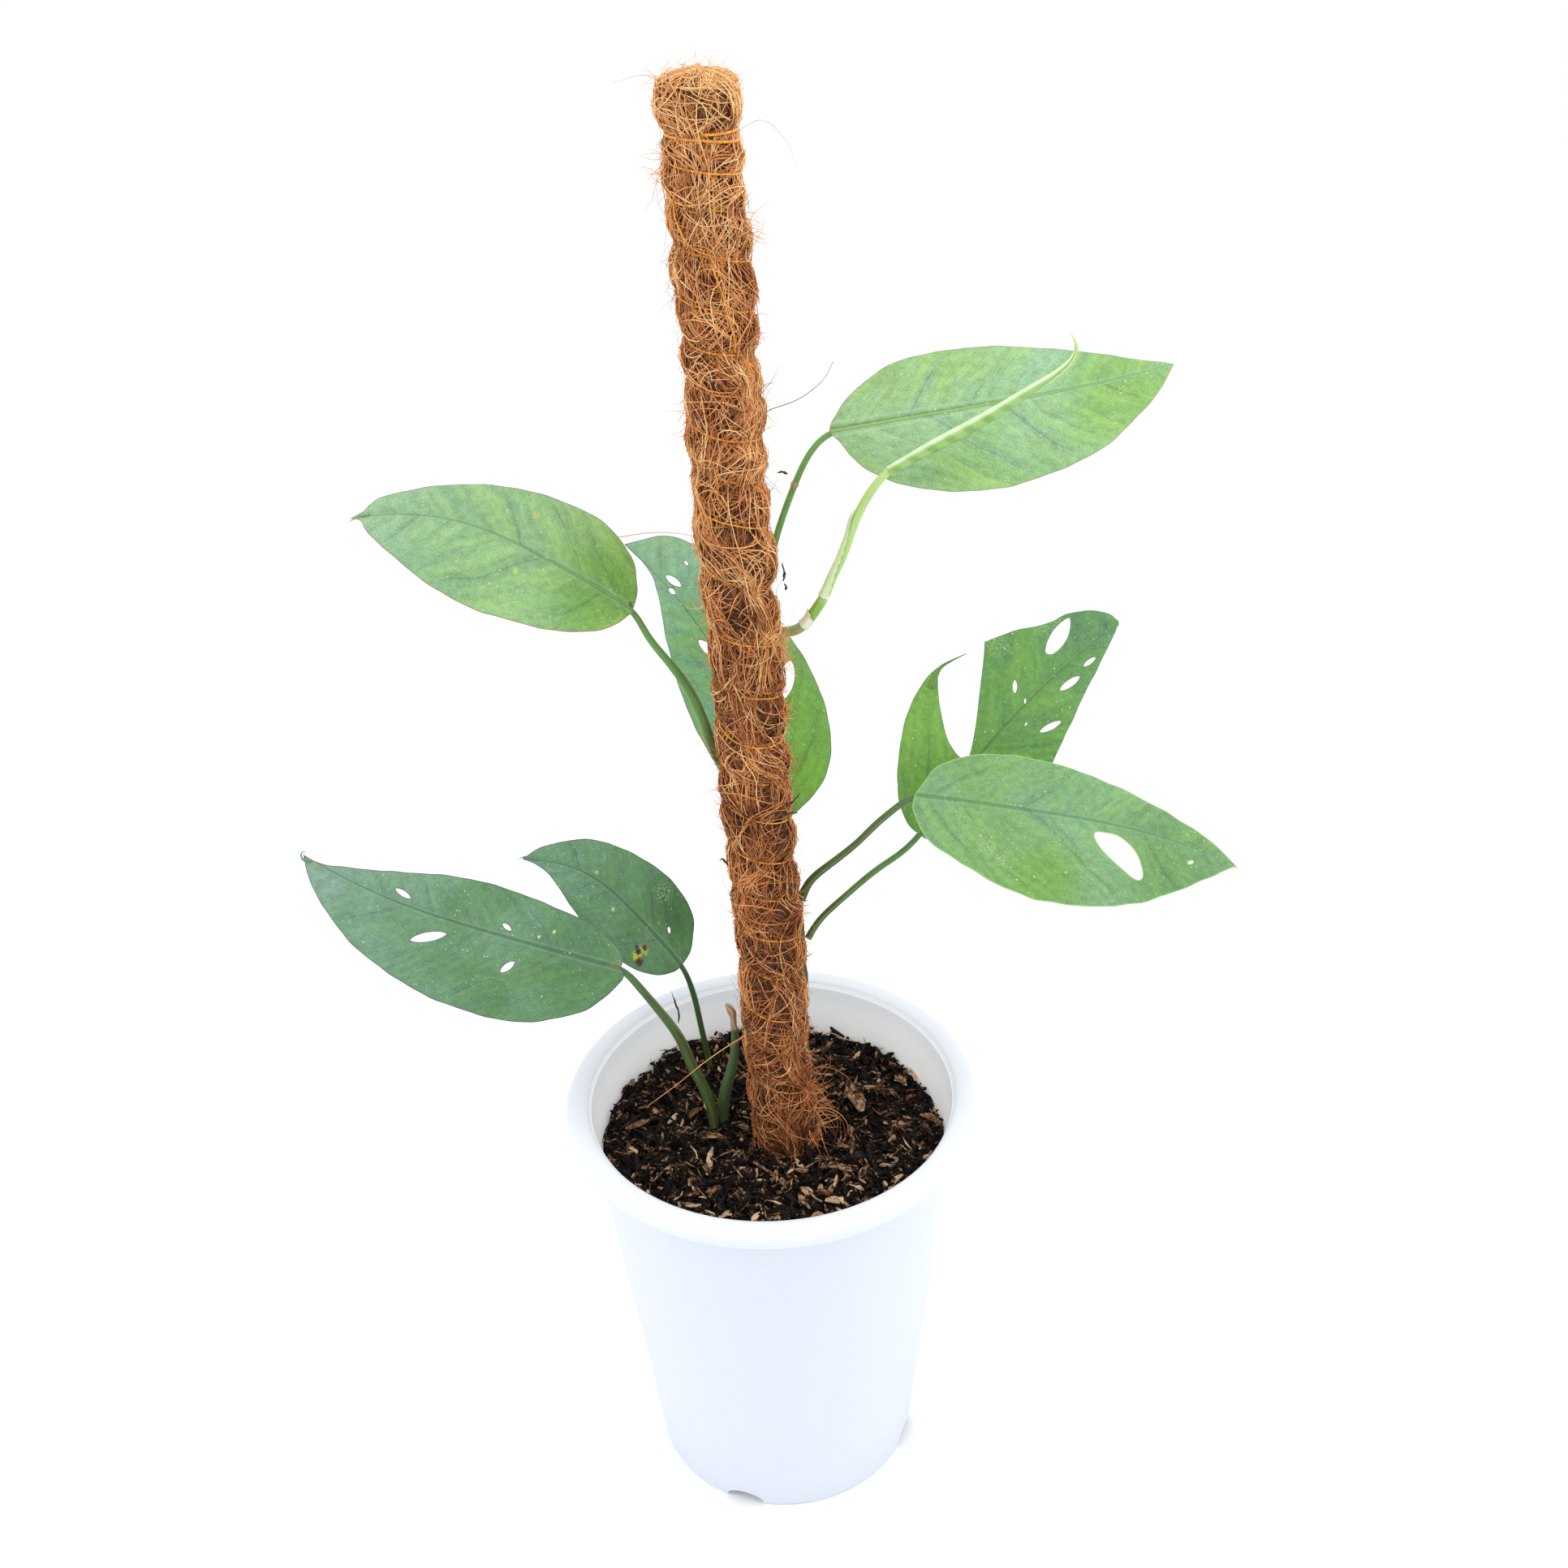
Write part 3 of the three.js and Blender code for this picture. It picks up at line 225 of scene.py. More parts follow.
LEAVES = {
    "leaf_low_left": dict(
        base=(-66, -5, 300), tip=(-213, 40, 342), faces=(-15, 50), arch=8, bend=7, sway=-1,
        left=[(-2, 6), (10, 26), (38, 40), (73, 43), (112, 35), (144, 17)],
        right=[(3, -7), (20, -14), (45, -15.5), (75, -15), (110, -7), (144, 1)],
        holes=[
            (106, 2.5, 8.5, 2.4, -13), (87, 17.5, 16.5, 4.2, 29), (55, 1, 5, 2, -19), (48, 18, 7.6, 3, 57),
        ],
        petiole=[
            (-29.5, 12.6, 175), (-29.4, 12.4, 192), (-31.5, 10, 210), (-37.6, 7, 230.6), (-42.4, 4, 251),
            (-51.8, 0, 272.7), (-60.5, -3.5, 290.5),
        ],
        girth=[2.2, 2.5, 2.7, 2.6, 2.4, 2, 1.8, 1.5],
        browning=150,
        tip_hook=[(154, 2.2, 0), (158.4, 2.4, 0.3), (160, 0.6, 1), (159.2, -1.6, 1.4), (157.4, -1.2, 1.2)],
        green=(0.077, 0.194, 0.068), second=(0.141, 0.276, 0.172),
        edge=(0.09, 0.075, 0.085), stalk=(0.075, 0.17, 0.05),
        # The first wash is painted shade by the blade's base, the second a bluish painted sheen near its tip
        washes=[(20, -6, 24, (0.066, 0.17, 0.078), 0.8), (150, 0, 30, (0.2, 0.3, 0.26), 0.6)],
        spots=[
            (34.1, -4.5, 0.7, (0.75, 0.85, 0.5)), (39.8, 0, 0.6, (0.7, 0.8, 0.45)),
            (1.6, 0.6, 1.4, (0.2, 0.12, 0.04)), (4.4, 0.5, 1, (0.22, 0.13, 0.05)),
        ],
    ),
    "leaf_low_back": dict(
        base=(-41, 45, 263), tip=(-117, 75, 311), faces=(-15, 48), arch=5, bend=-11, sway=2,
        left=[(2, 5), (10, 12), (25, 15), (43, 13), (62, 6), (82, -1.5)],
        right=[(1, -10), (9, -23.5), (24, -31), (45, -33), (69, -28), (88, -13)],
        holes=[(15, -11, 3.2, 1.3, -49)],
        petiole=[(-31.1, 52.5, 177), (-31.2, 52.3, 196), (-33.8, 49, 221), (-36.2, 47, 243.3)],
        girth=[1.5, 1.5, 1.5, 1.5, 1.3],
        tip_hook=[(88, -3.6, 0), (92.5, -2.8, 0), (95.2, -0.8, -0.4), (96.2, 1.6, -0.8)],
        green=(0.079, 0.2, 0.072), second=(0.142, 0.287, 0.165),
        edge=(0.07, 0.07, 0.07), stalk=(0.05, 0.12, 0.035),
        washes=[(20, -22, 20, (0.042, 0.127, 0.036), 0.9)],
        spots=[
            (20.8, 8.2, 3.0, (0.55, 0.5, 0.04)), (20, 3.4, 2.6, (0.5, 0.48, 0.05)),
            (18.4, 10, 2.5, (0.06, 0.025, 0.012)), (21.6, 6.2, 1.7, (0.02, 0.012, 0.01)),
            (20.2, 2.8, 1.8, (0.05, 0.02, 0.012)), (23.6, 4.6, 1.1, (0.03, 0.015, 0.01)),
            (43.6, -4.1, 0.9, (0.6, 0.7, 0.3)), (60.3, -14.6, 0.7, (0.5, 0.6, 0.25)),
        ],
        scuffs=[(27.4, -24.8, 7)],
    ),
    "leaf_upper_left": dict(
        base=(-47, 0, 478), tip=(-159, 10, 520), faces=(-10, 48), arch=9, bend=-9.5, sway=2,
        left=[(1, 3), (9, 13), (29, 21), (58, 23), (85, 17.5), (107, 7), (112.5, 3.2), (115.6, 0)],
        right=[(1, -10), (8, -22), (26, -32), (56, -32), (85, -25), (108, -13.5), (113.5, -8), (116, -4)],
        holes=[],
        petiole=[
            (2, 22.5, 386), (-7, 22.5, 388), (-15.5, 16.5, 394), (-18.8, 10, 408), (-24, 6, 430),
            (-29, 4, 442.5), (-35, 2, 453.5), (-42.4, 0.8, 465.5),
        ],
        girth=[2, 2.2, 2.4, 2.4, 2.2, 2, 1.7, 1.5, 1.3],
        tip_hook=[(113, -3.5, 0), (116.6, -1.8, 0.2), (118.4, -0.2, -0.4), (120.2, 1.4, -1.2)],
        green=(0.242, 0.426, 0.17), second=(0.203, 0.38, 0.19),
        edge=(0.26, 0.2, 0.13), stalk=(0.12, 0.26, 0.06),
        washes=[(4, 2, 46, (0.13, 0.31, 0.04), 0.9), (110, -5, 30, (0.31, 0.46, 0.3), 0.4)],
        spots=[
            (49, -22.8, 1.3, (0.5, 0.52, 0.12)), (49, -22.8, 0.8, (0.62, 0.3, 0.08)),
            (1.6, -1.6, 1.2, (0.05, 0.09, 0.03)), (50, 3, 1.2, (0.4, 0.6, 0.05)),
        ],
    ),
    "leaf_behind_pole": dict(
        base=(12, 40, 348), tip=(-57, 125, 454), faces=(-10, 42), arch=8, bend=-12, sway=0,
        left=[(-1, 3), (6, 9), (30, 14), (60, 14), (95, 7), (128, -3.5)],
        right=[(0, -10), (9, -29), (33, -43), (70, -46), (110, -39), (142, -23)],
        holes=[
            (123.5, -11.5, 9, 3.2, 23), (119.5, -8.5, 4.1, 2, 18), (128, -21, 2.8, 1.2, 4),
            (85, -10, 15, 4.5, 17), (55, -34, 18.5, 7, -41),
        ],
        petiole=[(11.6, 22, 338.6), (13.6, 28, 334.5), (14.6, 33, 336.5), (13.9, 37, 341.5)],
        girth=[1.8, 1.8, 1.7, 1.6, 1.4],
        green=(0.13, 0.305, 0.062), second=(0.163, 0.336, 0.182),
        edge=(0.1, 0.16, 0.08), stalk=(0.1, 0.2, 0.05),
        # The two bright yellow-green washes are painted glow where light shines through the blade; the last is a
        # bluish painted sheen near the tip
        washes=[
            (30, -25, 38, (0.152, 0.355, 0.042), 0.9), (8, -20, 16, (0.17, 0.41, 0.03), 0.7),
            (150, -5, 40, (0.23, 0.365, 0.27), 0.5),
        ],
    ),
    "leaf_upper_right": dict(
        base=(37, 25, 542), tip=(183, 50, 555), faces=(10, 46), arch=9, bend=-6, sway=0.5,
        left=[(3, 5), (14, 14), (35, 22), (62, 21.5), (96, 13.5), (131, 4)],
        right=[(2, -5), (12, -22), (38, -38), (70, -41), (105, -34), (133, -16)],
        holes=[],
        petiole=[
            (9.4, 19.7, 446.4), (7.6, 21.4, 460), (9, 20.8, 477), (12.8, 22, 495), (22.2, 24, 520),
            (28.6, 24.4, 533),
        ],
        girth=[1.7, 1.7, 1.6, 1.5, 1.4, 1.35, 1.3],
        green=(0.24, 0.43, 0.136), second=(0.285, 0.484, 0.285),
        edge=(0.28, 0.3, 0.18), stalk=(0.15, 0.33, 0.07),
        washes=[(20, -4, 26, (0.28, 0.47, 0.23), 0.7), (125, -14, 46, (0.178, 0.37, 0.068), 0.85)],
        scar=(22.2, 24, 520), rib_light=0.85, rib_width=1.3,
        scuffs=[(121.8, -9.4, 3), (114.2, -21.4, 4), (89.9, -29.9, 2.5), (60.3, -9.4, 2)],
    ),
    "leaf_split": dict(
        base=(74, 20, 348), tip=(172, 75, 424), faces=(12, 38), arch=6, bend=6.5, sway=0,
        left=[
            (0, 8), (8, 22), (30, 39.5), (60, 47.5), (93, 35.8), (111, 25), (121, 20.5), (130, 14),
            (135.6, 6),
        ],
        right=[(2, -6), (14, -22), (36, -29), (67, -21), (95, -11.5), (120, -5)],
        holes=[
            (112, -2, 7, 2, -11), (98, -2, 11.3, 3.1, -12), (77, -9, 11, 2.8, -20), (79, 15.5, 6, 2, 43),
            (77.5, 7.5, 2.4, 0.9, 43), (70, 0, 2, 0.7, 10),
        ],
        gaps=[
            [
                (120.4, 18.4), (115, 14), (108.9, 12.4), (102.7, 13), (100.8, 15.7), (104.2, 18.2),
                (109.5, 19.8), (115.5, 20),
            ],
            [
                (65, 54), (62, 47.2), (57.6, 43.4), (53.6, 39.4), (48.8, 33.9), (41.4, 23.5), (38.8, 17),
                (38.2, 11.6), (40.2, 9.2), (43.8, 10.2), (54.8, 17.4), (66.9, 26.4), (84.8, 39.6), (94, 49),
            ],
        ],
        petiole=[
            (20.8, 13.2, 298.5), (25.6, 15, 306.5), (37.5, 16, 318), (53.7, 18, 331.8), (66, 19.4, 339.8),
        ],
        girth=[1.7, 1.6, 1.5, 1.5, 1.45, 1.4],
        green=(0.14, 0.32, 0.045), second=(0.106, 0.275, 0.072),
        edge=(0.14, 0.22, 0.1), stalk=(0.1, 0.22, 0.05),
        # The bright yellow-green wash on the left lobe is painted glow where light shines through it
        washes=[
            (12, -2, 30, (0.12, 0.3, 0.026), 0.9), (128, 8, 28, (0.078, 0.205, 0.088), 0.85),
            (42, 32, 24, (0.175, 0.4, 0.06), 0.8),
        ],
        scuffs=[(112, 24, 9), (88, 34, 7)],
        tip_hook=[(130, 3, 0), (134.8, 3.4, -0.2), (136.4, 0.8, -1), (134.4, -1.4, -1.6)],
        lobe_tip=[(53, 42.6, -0.4), (57.4, 44.9, 0), (62, 46.2, 0.6), (68, 44.6, 1.6), (74.6, 42, 2.4)],
    ),
    "leaf_front_right": dict(
        base=(69, -5, 385), tip=(210, -20, 349), faces=(10, 50), arch=9, bend=2.5, sway=-1,
        left=[(2, 4), (9, 15.5), (30, 25), (62, 25), (95, 19), (126, 10)],
        right=[(1, -8), (11, -21.5), (38, -33), (72, -37), (104, -28.5), (130, -12)],
        holes=[(124, -5, 2.7, 1.2, 36)],
        gaps=[[
            (79.2, -3.2), (84, -1.8), (91, -2.4), (98.6, -7.6), (102.8, -15.8), (101.6, -18.9),
            (97.6, -18.2), (88, -13), (81.6, -8),
        ]],
        petiole=[
            (18.5, 11.9, 322), (22, 9, 333.2), (32.6, 6, 344.5), (43.6, 3, 356), (52.8, 0, 368.2),
            (62, -3.2, 378.5),
        ],
        girth=[2.1, 1.9, 1.7, 1.6, 1.6, 1.5, 1.4],
        green=(0.16, 0.33, 0.105), second=(0.172, 0.343, 0.172),
        edge=(0.36, 0.56, 0.22), stalk=(0.085, 0.19, 0.05),
        washes=[
            (60, -28, 26, (0.155, 0.325, 0.055), 0.8), (8, 4, 14, (0.165, 0.34, 0.15), 0.6),
            (120, -6, 44, (0.102, 0.244, 0.07), 0.95),
        ],
        scuffs=[(34.6, -19, 4.5), (41.4, -23.4, 4), (122.5, -5.2, 1.5)],
        tip_hook=[(141, -0.6, 0), (144.6, -0.6, -0.1), (147.4, -1, -0.5)],
        scallops=0.14,
        browning=90,
    ),
}

# Growing tip
STALK_ROUTE = [
    (15.2, 13.4, 457.9), (20, 11, 459.3), (23.8, 9, 463), (28.5, 7, 470.3), (32.4, 6, 477), (35.9, 5, 486.2),
    (40.4, 4, 496.2), (46, 2, 513), (52, 1, 524.6), (58.2, 0.2, 532.6), (60, 0.1, 534.2),
]
STALK_GIRTH = [2.2, 2.3, 2.3, 2.3, 2.2, 2, 2, 1.9, 1.8, 1.6, 1.5]
ROLL_ROUTE = [
    (59.1, 0, 533.3), (77.2, 1, 542.6), (95.8, 2, 551.6), (113.9, 3, 561.8), (128, 4.4, 570),
    (133.6, 5, 576), (133, 5, 580.6), (130.9, 5, 584),
]
ROLL_GIRTH = [2.0, 2.65, 2.55, 2.05, 1.45, 1.0, 0.55, 0.15]
# The way the rolled leaf's shaded side faces: the roll is painted a darker green on that side, as painted shade
ROLL_SHADED_SIDE = np.array([0.45, -0.4, -0.8])
ROLL_TURNS = 0.8
SHEATH_SPAN = (477, 516)
SHEATH_SIDE = np.array([-0.8, -0.3, 0.5])
SHEATH_SPREAD = [105, 70, 50, 16]
COLLAR_SPAN = (463, 469.5)
COLLAR_SPREAD = [150, 140, 95, 40]

# Old cut stem
OLD_ROUTE = [
    (-24.8, 17.1, 175), (-24.6, 16.9, 192), (-22.6, 14.6, 208), (-18.4, 13.6, 224), (-16.4, 13.2, 238),
    (-16.2, 13, 248),
]
OLD_GIRTH = [2.6, 2.9, 3, 2.6, 2, 1.7]
DRY_ROUTE = [(-16.2, 13, 247), (-16.6, 12.6, 254), (-17.4, 12, 260), (-19.6, 11.6, 263.5)]
DRY_GIRTH = [1.6, 1.5, 1.9, 0.7]


# Numbers and curves

def fade(value, start, end):
    """0 at start, 1 at end, smooth between."""
    share = np.clip((value - start) / (end - start), 0, 1)
    return share * share * (3 - 2 * share)


def unit(vectors):
    return vectors / np.maximum(np.linalg.norm(vectors, axis=-1, keepdims=True), 1e-9)


def edge_curve(points, shares):
    """The same spline through outline points as the CAD's: one span a point, ends not rounded off."""
    points = np.array(points, float)
    place = np.asarray(shares) * (len(points) - 1)
    span = np.minimum(place.astype(int), len(points) - 2)
    part = (place - span)[:, None]
    before = points[np.maximum(span - 1, 0)]
    first = points[span]
    second = points[span + 1]
    after = points[np.minimum(span + 2, len(points) - 1)]
    leave = (second - before) / 2
    arrive = (after - first) / 2
    return (
        (2 * first - 2 * second + leave + arrive) * part ** 3
        + (-3 * first + 3 * second - 2 * leave - arrive) * part ** 2
        + leave * part
        + first
    )


def smooth_route(points, count, soften=0.0):
    """count points along a centripetal spline through points, evenly apart, with each one's place among the
    points and its distance along the line. soften evens out bends shorter than that many millimetres."""
    points = np.array(points, float)
    wide = np.vstack([2 * points[0] - points[1], points, 2 * points[-1] - points[-2]])
    knots = np.concatenate([[0], np.cumsum(np.sqrt(np.linalg.norm(np.diff(wide, axis=0), axis=1)))])
    line = []
    place = []
    for i in range(1, len(wide) - 2):
        part = np.linspace(0, 1, 24, endpoint=False)
        t = (knots[i] + part * (knots[i + 1] - knots[i]))[:, None]

        def between(a, b, low, high):
            return a * (high - t) / (high - low) + b * (t - low) / (high - low)

        k0, k1, k2, k3 = knots[i - 1:i + 3]
        a1 = between(wide[i - 1], wide[i], k0, k1)
        a2 = between(wide[i], wide[i + 1], k1, k2)
        a3 = between(wide[i + 1], wide[i + 2], k2, k3)
        line.append(between(between(a1, a2, k0, k2), between(a2, a3, k1, k3), k1, k2))
        place.append(i - 1 + part)
    line = np.vstack(line + [points[-1:]])
    place = np.concatenate(place + [[len(points) - 1]])
    walked = np.concatenate([[0], np.cumsum(np.linalg.norm(np.diff(line, axis=0), axis=1))])
    even = np.linspace(0, walked[-1], count)
    line = np.stack([np.interp(even, walked, line[:, k]) for k in range(3)], 1)
    if soften:
        reach = min(count - 1, int(2.5 * soften / even[1]) + 1)
        kernel = np.exp(-0.5 * (np.arange(-reach, reach + 1) * even[1] / soften) ** 2)
        padded = np.vstack([2 * line[0] - line[reach:0:-1], line, 2 * line[-1] - line[-2:-reach - 2:-1]])
        line = np.stack([np.convolve(padded[:, k], kernel / kernel.sum(), "valid") for k in range(3)], 1)
    return line, np.interp(even, walked, place), even


def frames(line):
    """Two directions square to a line at each of its points, without twist along it."""
    run = unit(np.gradient(line, axis=0))
    normal = unit(np.cross(run[0], (0.0, 1.0, 0.0)))
    normals = []
    for way in run:
        normal = unit(normal - way * np.dot(normal, way))
        normals.append(normal)
    normals = np.array(normals)
    return run, normals, np.cross(run, normals)


# Pieces

def add_piece(name, points, faces, material, slot, stands_for=(), sharp=None, **attributes):
    """One mesh riding on the part's body. points are millimetres, faces all have as many corners."""
    points = np.asarray(points, float) * MM + PLACE
    faces = np.asarray(faces, np.int32)
    mesh = bpy.data.meshes.new(name)
    mesh.vertices.add(len(points))
    mesh.vertices.foreach_set("co", points.ravel())
    mesh.loops.add(faces.size)
    mesh.loops.foreach_set("vertex_index", faces.ravel())
    mesh.polygons.add(len(faces))
    mesh.polygons.foreach_set("loop_start", np.arange(0, faces.size, faces.shape[1], dtype=np.int32))
    mesh.update(calc_edges=True)
    for label, values in attributes.items():
        values = np.asarray(values, np.float32)
        vector = values.ndim == 2
        layer = mesh.attributes.new(label, "FLOAT_VECTOR" if vector else "FLOAT", "POINT")
        layer.data.foreach_set("vector" if vector else "value", values.ravel())
    mesh.polygons.foreach_set("use_smooth", np.ones(len(faces), bool))
    if sharp:
        mesh.set_sharp_from_angle(angle=math.radians(sharp))
    mesh.materials.append(material)
    piece = bpy.data.objects.new(name, mesh)
    bpy.context.scene.collection.objects.link(piece)
    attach(piece, "root")
    if stands_for:
        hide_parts(*stands_for)
    return piece


def wrapped(index):
    """The quads between rows of point numbers that run round a body."""
    after = np.roll(index, -1, -1)
    corners = index[..., :-1, :], after[..., :-1, :], after[..., 1:, :], index[..., 1:, :]
    return np.stack(corners, -1).reshape(-1, 4)


def triangles(quads):
    return np.vstack([quads[:, [0, 1, 2]], quads[:, [0, 2, 3]]])


def fan(centre, ring, flip=False):
    """Triangles between one point and a ring of points."""
    pair = ring, np.roll(ring, -1)
    return np.stack([np.full(len(ring), centre), *(pair[::-1] if flip else pair)], 1)


def barrel(rows, ends):
    """A closed body of rows of points that run round it, (rows, columns, 3), and its two end points."""
    index = np.arange(rows.size // 3).reshape(rows.shape[:2])
    faces = [triangles(wrapped(index)), fan(index.size, index[0], True), fan(index.size + 1, index[-1])]
    return np.vstack([rows.reshape(-1, 3), ends]), np.vstack(faces)


def tubes(paths, radii, sides):
    """Many thin closed tubes at once: paths is (tubes, points, 3), radii is (tubes, points)."""
    run = unit(np.gradient(paths, axis=1))
    across = unit(np.cross(run, np.array([0.371, 0.213, 0.904])))
    up = np.cross(across, run)
    turn = TURN * np.arange(sides) / sides
    ring = np.cos(turn)[:, None] * across[:, :, None] + np.sin(turn)[:, None] * up[:, :, None]
    points = paths[:, :, None] + radii[:, :, None, None] * ring
    index = np.arange(points.size // 3).reshape(points.shape[:3])
    faces = [triangles(wrapped(index))]
    for k in range(1, sides - 1):
        faces += [index[:, 0, [0, k + 1, k]], index[:, -1, [0, k, k + 1]]]
    return points.reshape(-1, 3), np.vstack(faces)


def sweep(route, girth, sides=16, steps=60, shape=None, soften=0.0):
    """One closed round body along a smooth route. shape(run, turn) scales the radius, both from 0 to 1.
    Also gives each point's skin: its run along the body in millimetres, and its turn's cosine and sine."""
    line, place, walked = smooth_route(route, steps, soften)
    radius = np.interp(place, np.arange(len(girth)), girth)
    run, normal, side = frames(line)
    turn = np.arange(sides) / sides
    scale = np.array([shape(i / (steps - 1), turn) if shape else np.ones(sides) for i in range(steps)])
    circle = np.stack([np.cos(TURN * turn), np.sin(TURN * turn)], 1)
    ring = circle[:, 0, None] * normal[:, None] + circle[:, 1, None] * side[:, None]
    rows = line[:, None] + (radius[:, None] * scale)[..., None] * ring
    points, faces = barrel(rows, [line[0] - 0.2 * run[0], line[-1] + 0.3 * radius[-1] * run[-1]])
    along = np.broadcast_to(walked[:, None, None], (steps, sides, 1))
    around = np.broadcast_to(circle, (steps, sides, 2))
    skin = np.concatenate([along, around], -1).reshape(-1, 3)
    return points, faces, np.vstack([skin, [0, 0, 0], [walked[-1], 0, 0]])


def sheet(points, thickness, out):
    """A thin closed sheet from a grid of points (rows, columns, 3). out points away from its inner side."""
    both = np.vstack([(points + side * thickness / 2 * out).reshape(-1, 3) for side in (1, -1)])
    count = len(both) // 2
    index = np.arange(count).reshape(points.shape[:2])
    quads = np.stack([index[:-1, :-1], index[:-1, 1:], index[1:, 1:], index[1:, :-1]], -1).reshape(-1, 4)
    rim = np.concatenate([index[0], index[1:, -1], index[-1, -2::-1], index[-2:0:-1, 0]])
    after = np.roll(rim, -1)
    sides = np.stack([rim, rim + count, after + count, after], 1)
    return both, np.vstack([quads, quads[:, ::-1] + count, sides])


def joined(parts):
    """Several (points, faces, skin) as one."""
    start = 0
    points, faces, skins = [], [], []
    for p, f, k in parts:
        points.append(p)
        faces.append(f + start)
        skins.append(k)
        start += len(p)
    return np.vstack(points), np.vstack(faces), np.vstack(skins)


# Materials

class Value:
    """A socket in a material's node tree, to be worked with like a number, a vector or a colour."""

    def __init__(self, paint, socket):
        self.paint = paint
        self.socket = socket

    def math(self, operation, *others):
        return self.paint.put("ShaderNodeMath", enumerate((self, *others)), operation=operation)

    def __abs__(self):
        return self.math("ABSOLUTE")

    def __add__(self, other):
        return self.math("ADD", other)

    def __sub__(self, other):
        return self.math("SUBTRACT", other)

    def __mul__(self, other):
        return self.math("MULTIPLY", other)

    def __truediv__(self, other):
        return self.math("DIVIDE", other)

    def folded(self, step):
        """The value run back and forth between 0 and step."""
        return self.math("PINGPONG", step)

    def parts(self):
        node = self.paint.put("ShaderNodeSeparateXYZ", {0: self}).socket.node
        return [Value(self.paint, socket) for socket in node.outputs]

    def stretched(self, x, y, z):
        return self.paint.put("ShaderNodeMapping", {"Vector": self, "Scale": (x, y, z)})

    def noise(self, scale, detail=3.0, roughness=0.55):
        inputs = {"Vector": self, "Scale": scale, "Detail": detail, "Roughness": roughness}
        return self.paint.put("ShaderNodeTexNoise", inputs)

    def between(self, low, high, start=0.0, end=1.0):
        """start where the value is low, end where it is high, smooth between."""
        inputs = {0: self, 1: low, 2: high, 3: start, 4: end}
        return self.paint.put("ShaderNodeMapRange", inputs, interpolation_type="SMOOTHSTEP")

    def mix(self, first, second):
        """The first colour where the value is 0, the second where it is 1."""
        return self.paint.mix(self, first, second)

    def under(self, *layers):
        """The colour with others laid over it, each as (amount, colour)."""
        colour = self
        for amount, tint in layers:
            colour = amount.mix(colour, tint)
        return colour

    def shaded(self, shade):
        """The colour made darker or lighter by a number."""
        grey = self.paint.put("ShaderNodeCombineColor", {0: shade, 1: shade, 2: shade})
        return self.paint.mix(1.0, self, grey, "MULTIPLY")

    def ramp(self, stops):
        value = self.paint.put("ShaderNodeValToRGB", {0: self})
        elements = value.socket.node.color_ramp.elements
        elements.remove(elements[1])
        for i, (at, colour) in enumerate(stops):
            stop = elements.new(at) if i else elements[0]
            stop.position = at
            stop.color = (*colour, 1.0)
        return value


class Paint:
    """A material and short ways to put nodes into it. Values and plain numbers can both be passed in."""

    def __init__(self, name, **settings):
        self.material = bpy.data.materials.new(name)
        self.material.use_nodes = True
        self.tree = self.material.node_tree
        self.shader = self.tree.nodes["Principled BSDF"]
        for label, value in settings.items():
            self.shader.inputs[label.replace("_", " ")].default_value = value

    def put(self, kind, inputs=(), output=0, **settings):
        node = self.tree.nodes.new(kind)
        for label, value in settings.items():
            setattr(node, label, value)
        for key, value in dict(inputs).items():
            if isinstance(value, Value):
                self.tree.links.new(value.socket, node.inputs[key])
            else:
                node.inputs[key].default_value = value
        return Value(self, node.outputs[output])

    def vector(self, name):
        """A mesh attribute with three parts."""
        return self.put("ShaderNodeAttribute", output=1, attribute_name=name)

    def number(self, name):
        """A mesh attribute that is one number."""
        return self.put("ShaderNodeAttribute", output=2, attribute_name=name)

    def place(self):
        return self.put("ShaderNodeTexCoord", output=3)

    def mix(self, amount, first, second, blend="MIX"):
        first, second = (c if isinstance(c, Value) else (*c, 1.0) for c in (first, second))
        inputs = {0: amount, 6: first, 7: second}
        return self.put("ShaderNodeMix", inputs, 2, data_type="RGBA", blend_type=blend)

    def finish(self, colour, roughness=None, height=None, depth=0.2):
        """Links colour, roughness and relief. depth is the relief's height in millimetres."""
        ends = {"Base Color": colour, "Roughness": roughness}
        if height is not None:
            inputs = {"Height": height, "Distance": depth * MM, "Strength": 1.0}
            ends["Normal"] = self.put("ShaderNodeBump", inputs)
        for label, value in ends.items():
            if value is not None:
                self.tree.links.new(value.socket, self.shader.inputs[label])
        return self.material


def pot_material(name, first, second, glow=0.0):
    # glow is the strength of a faint white emission: painted light, not a lamp
    paint = Paint(name, IOR=1.46, Emission_Color=(1.0, 1.0, 1.0, 1.0), Emission_Strength=glow)
    place = paint.place()
    cloud = place.noise(9.0, 2.0)
    colour = cloud.mix(first, second).under(
        # Above these heights the colour turns into the rim's lighter colour: a painted highlight on the rim
        (place.parts()[2].between(*RIM_HIGHLIGHT_HEIGHTS), (0.742, 0.765, 0.818)),
        (place.noise(420.0, 1.0).between(0.745, 0.775, 0.0, 0.22), (0.35, 0.33, 0.30)),
    )
    return paint.finish(colour, cloud.between(0.3, 0.7, 0.3, 0.42), place.noise(900.0, 2.0), 0.03)


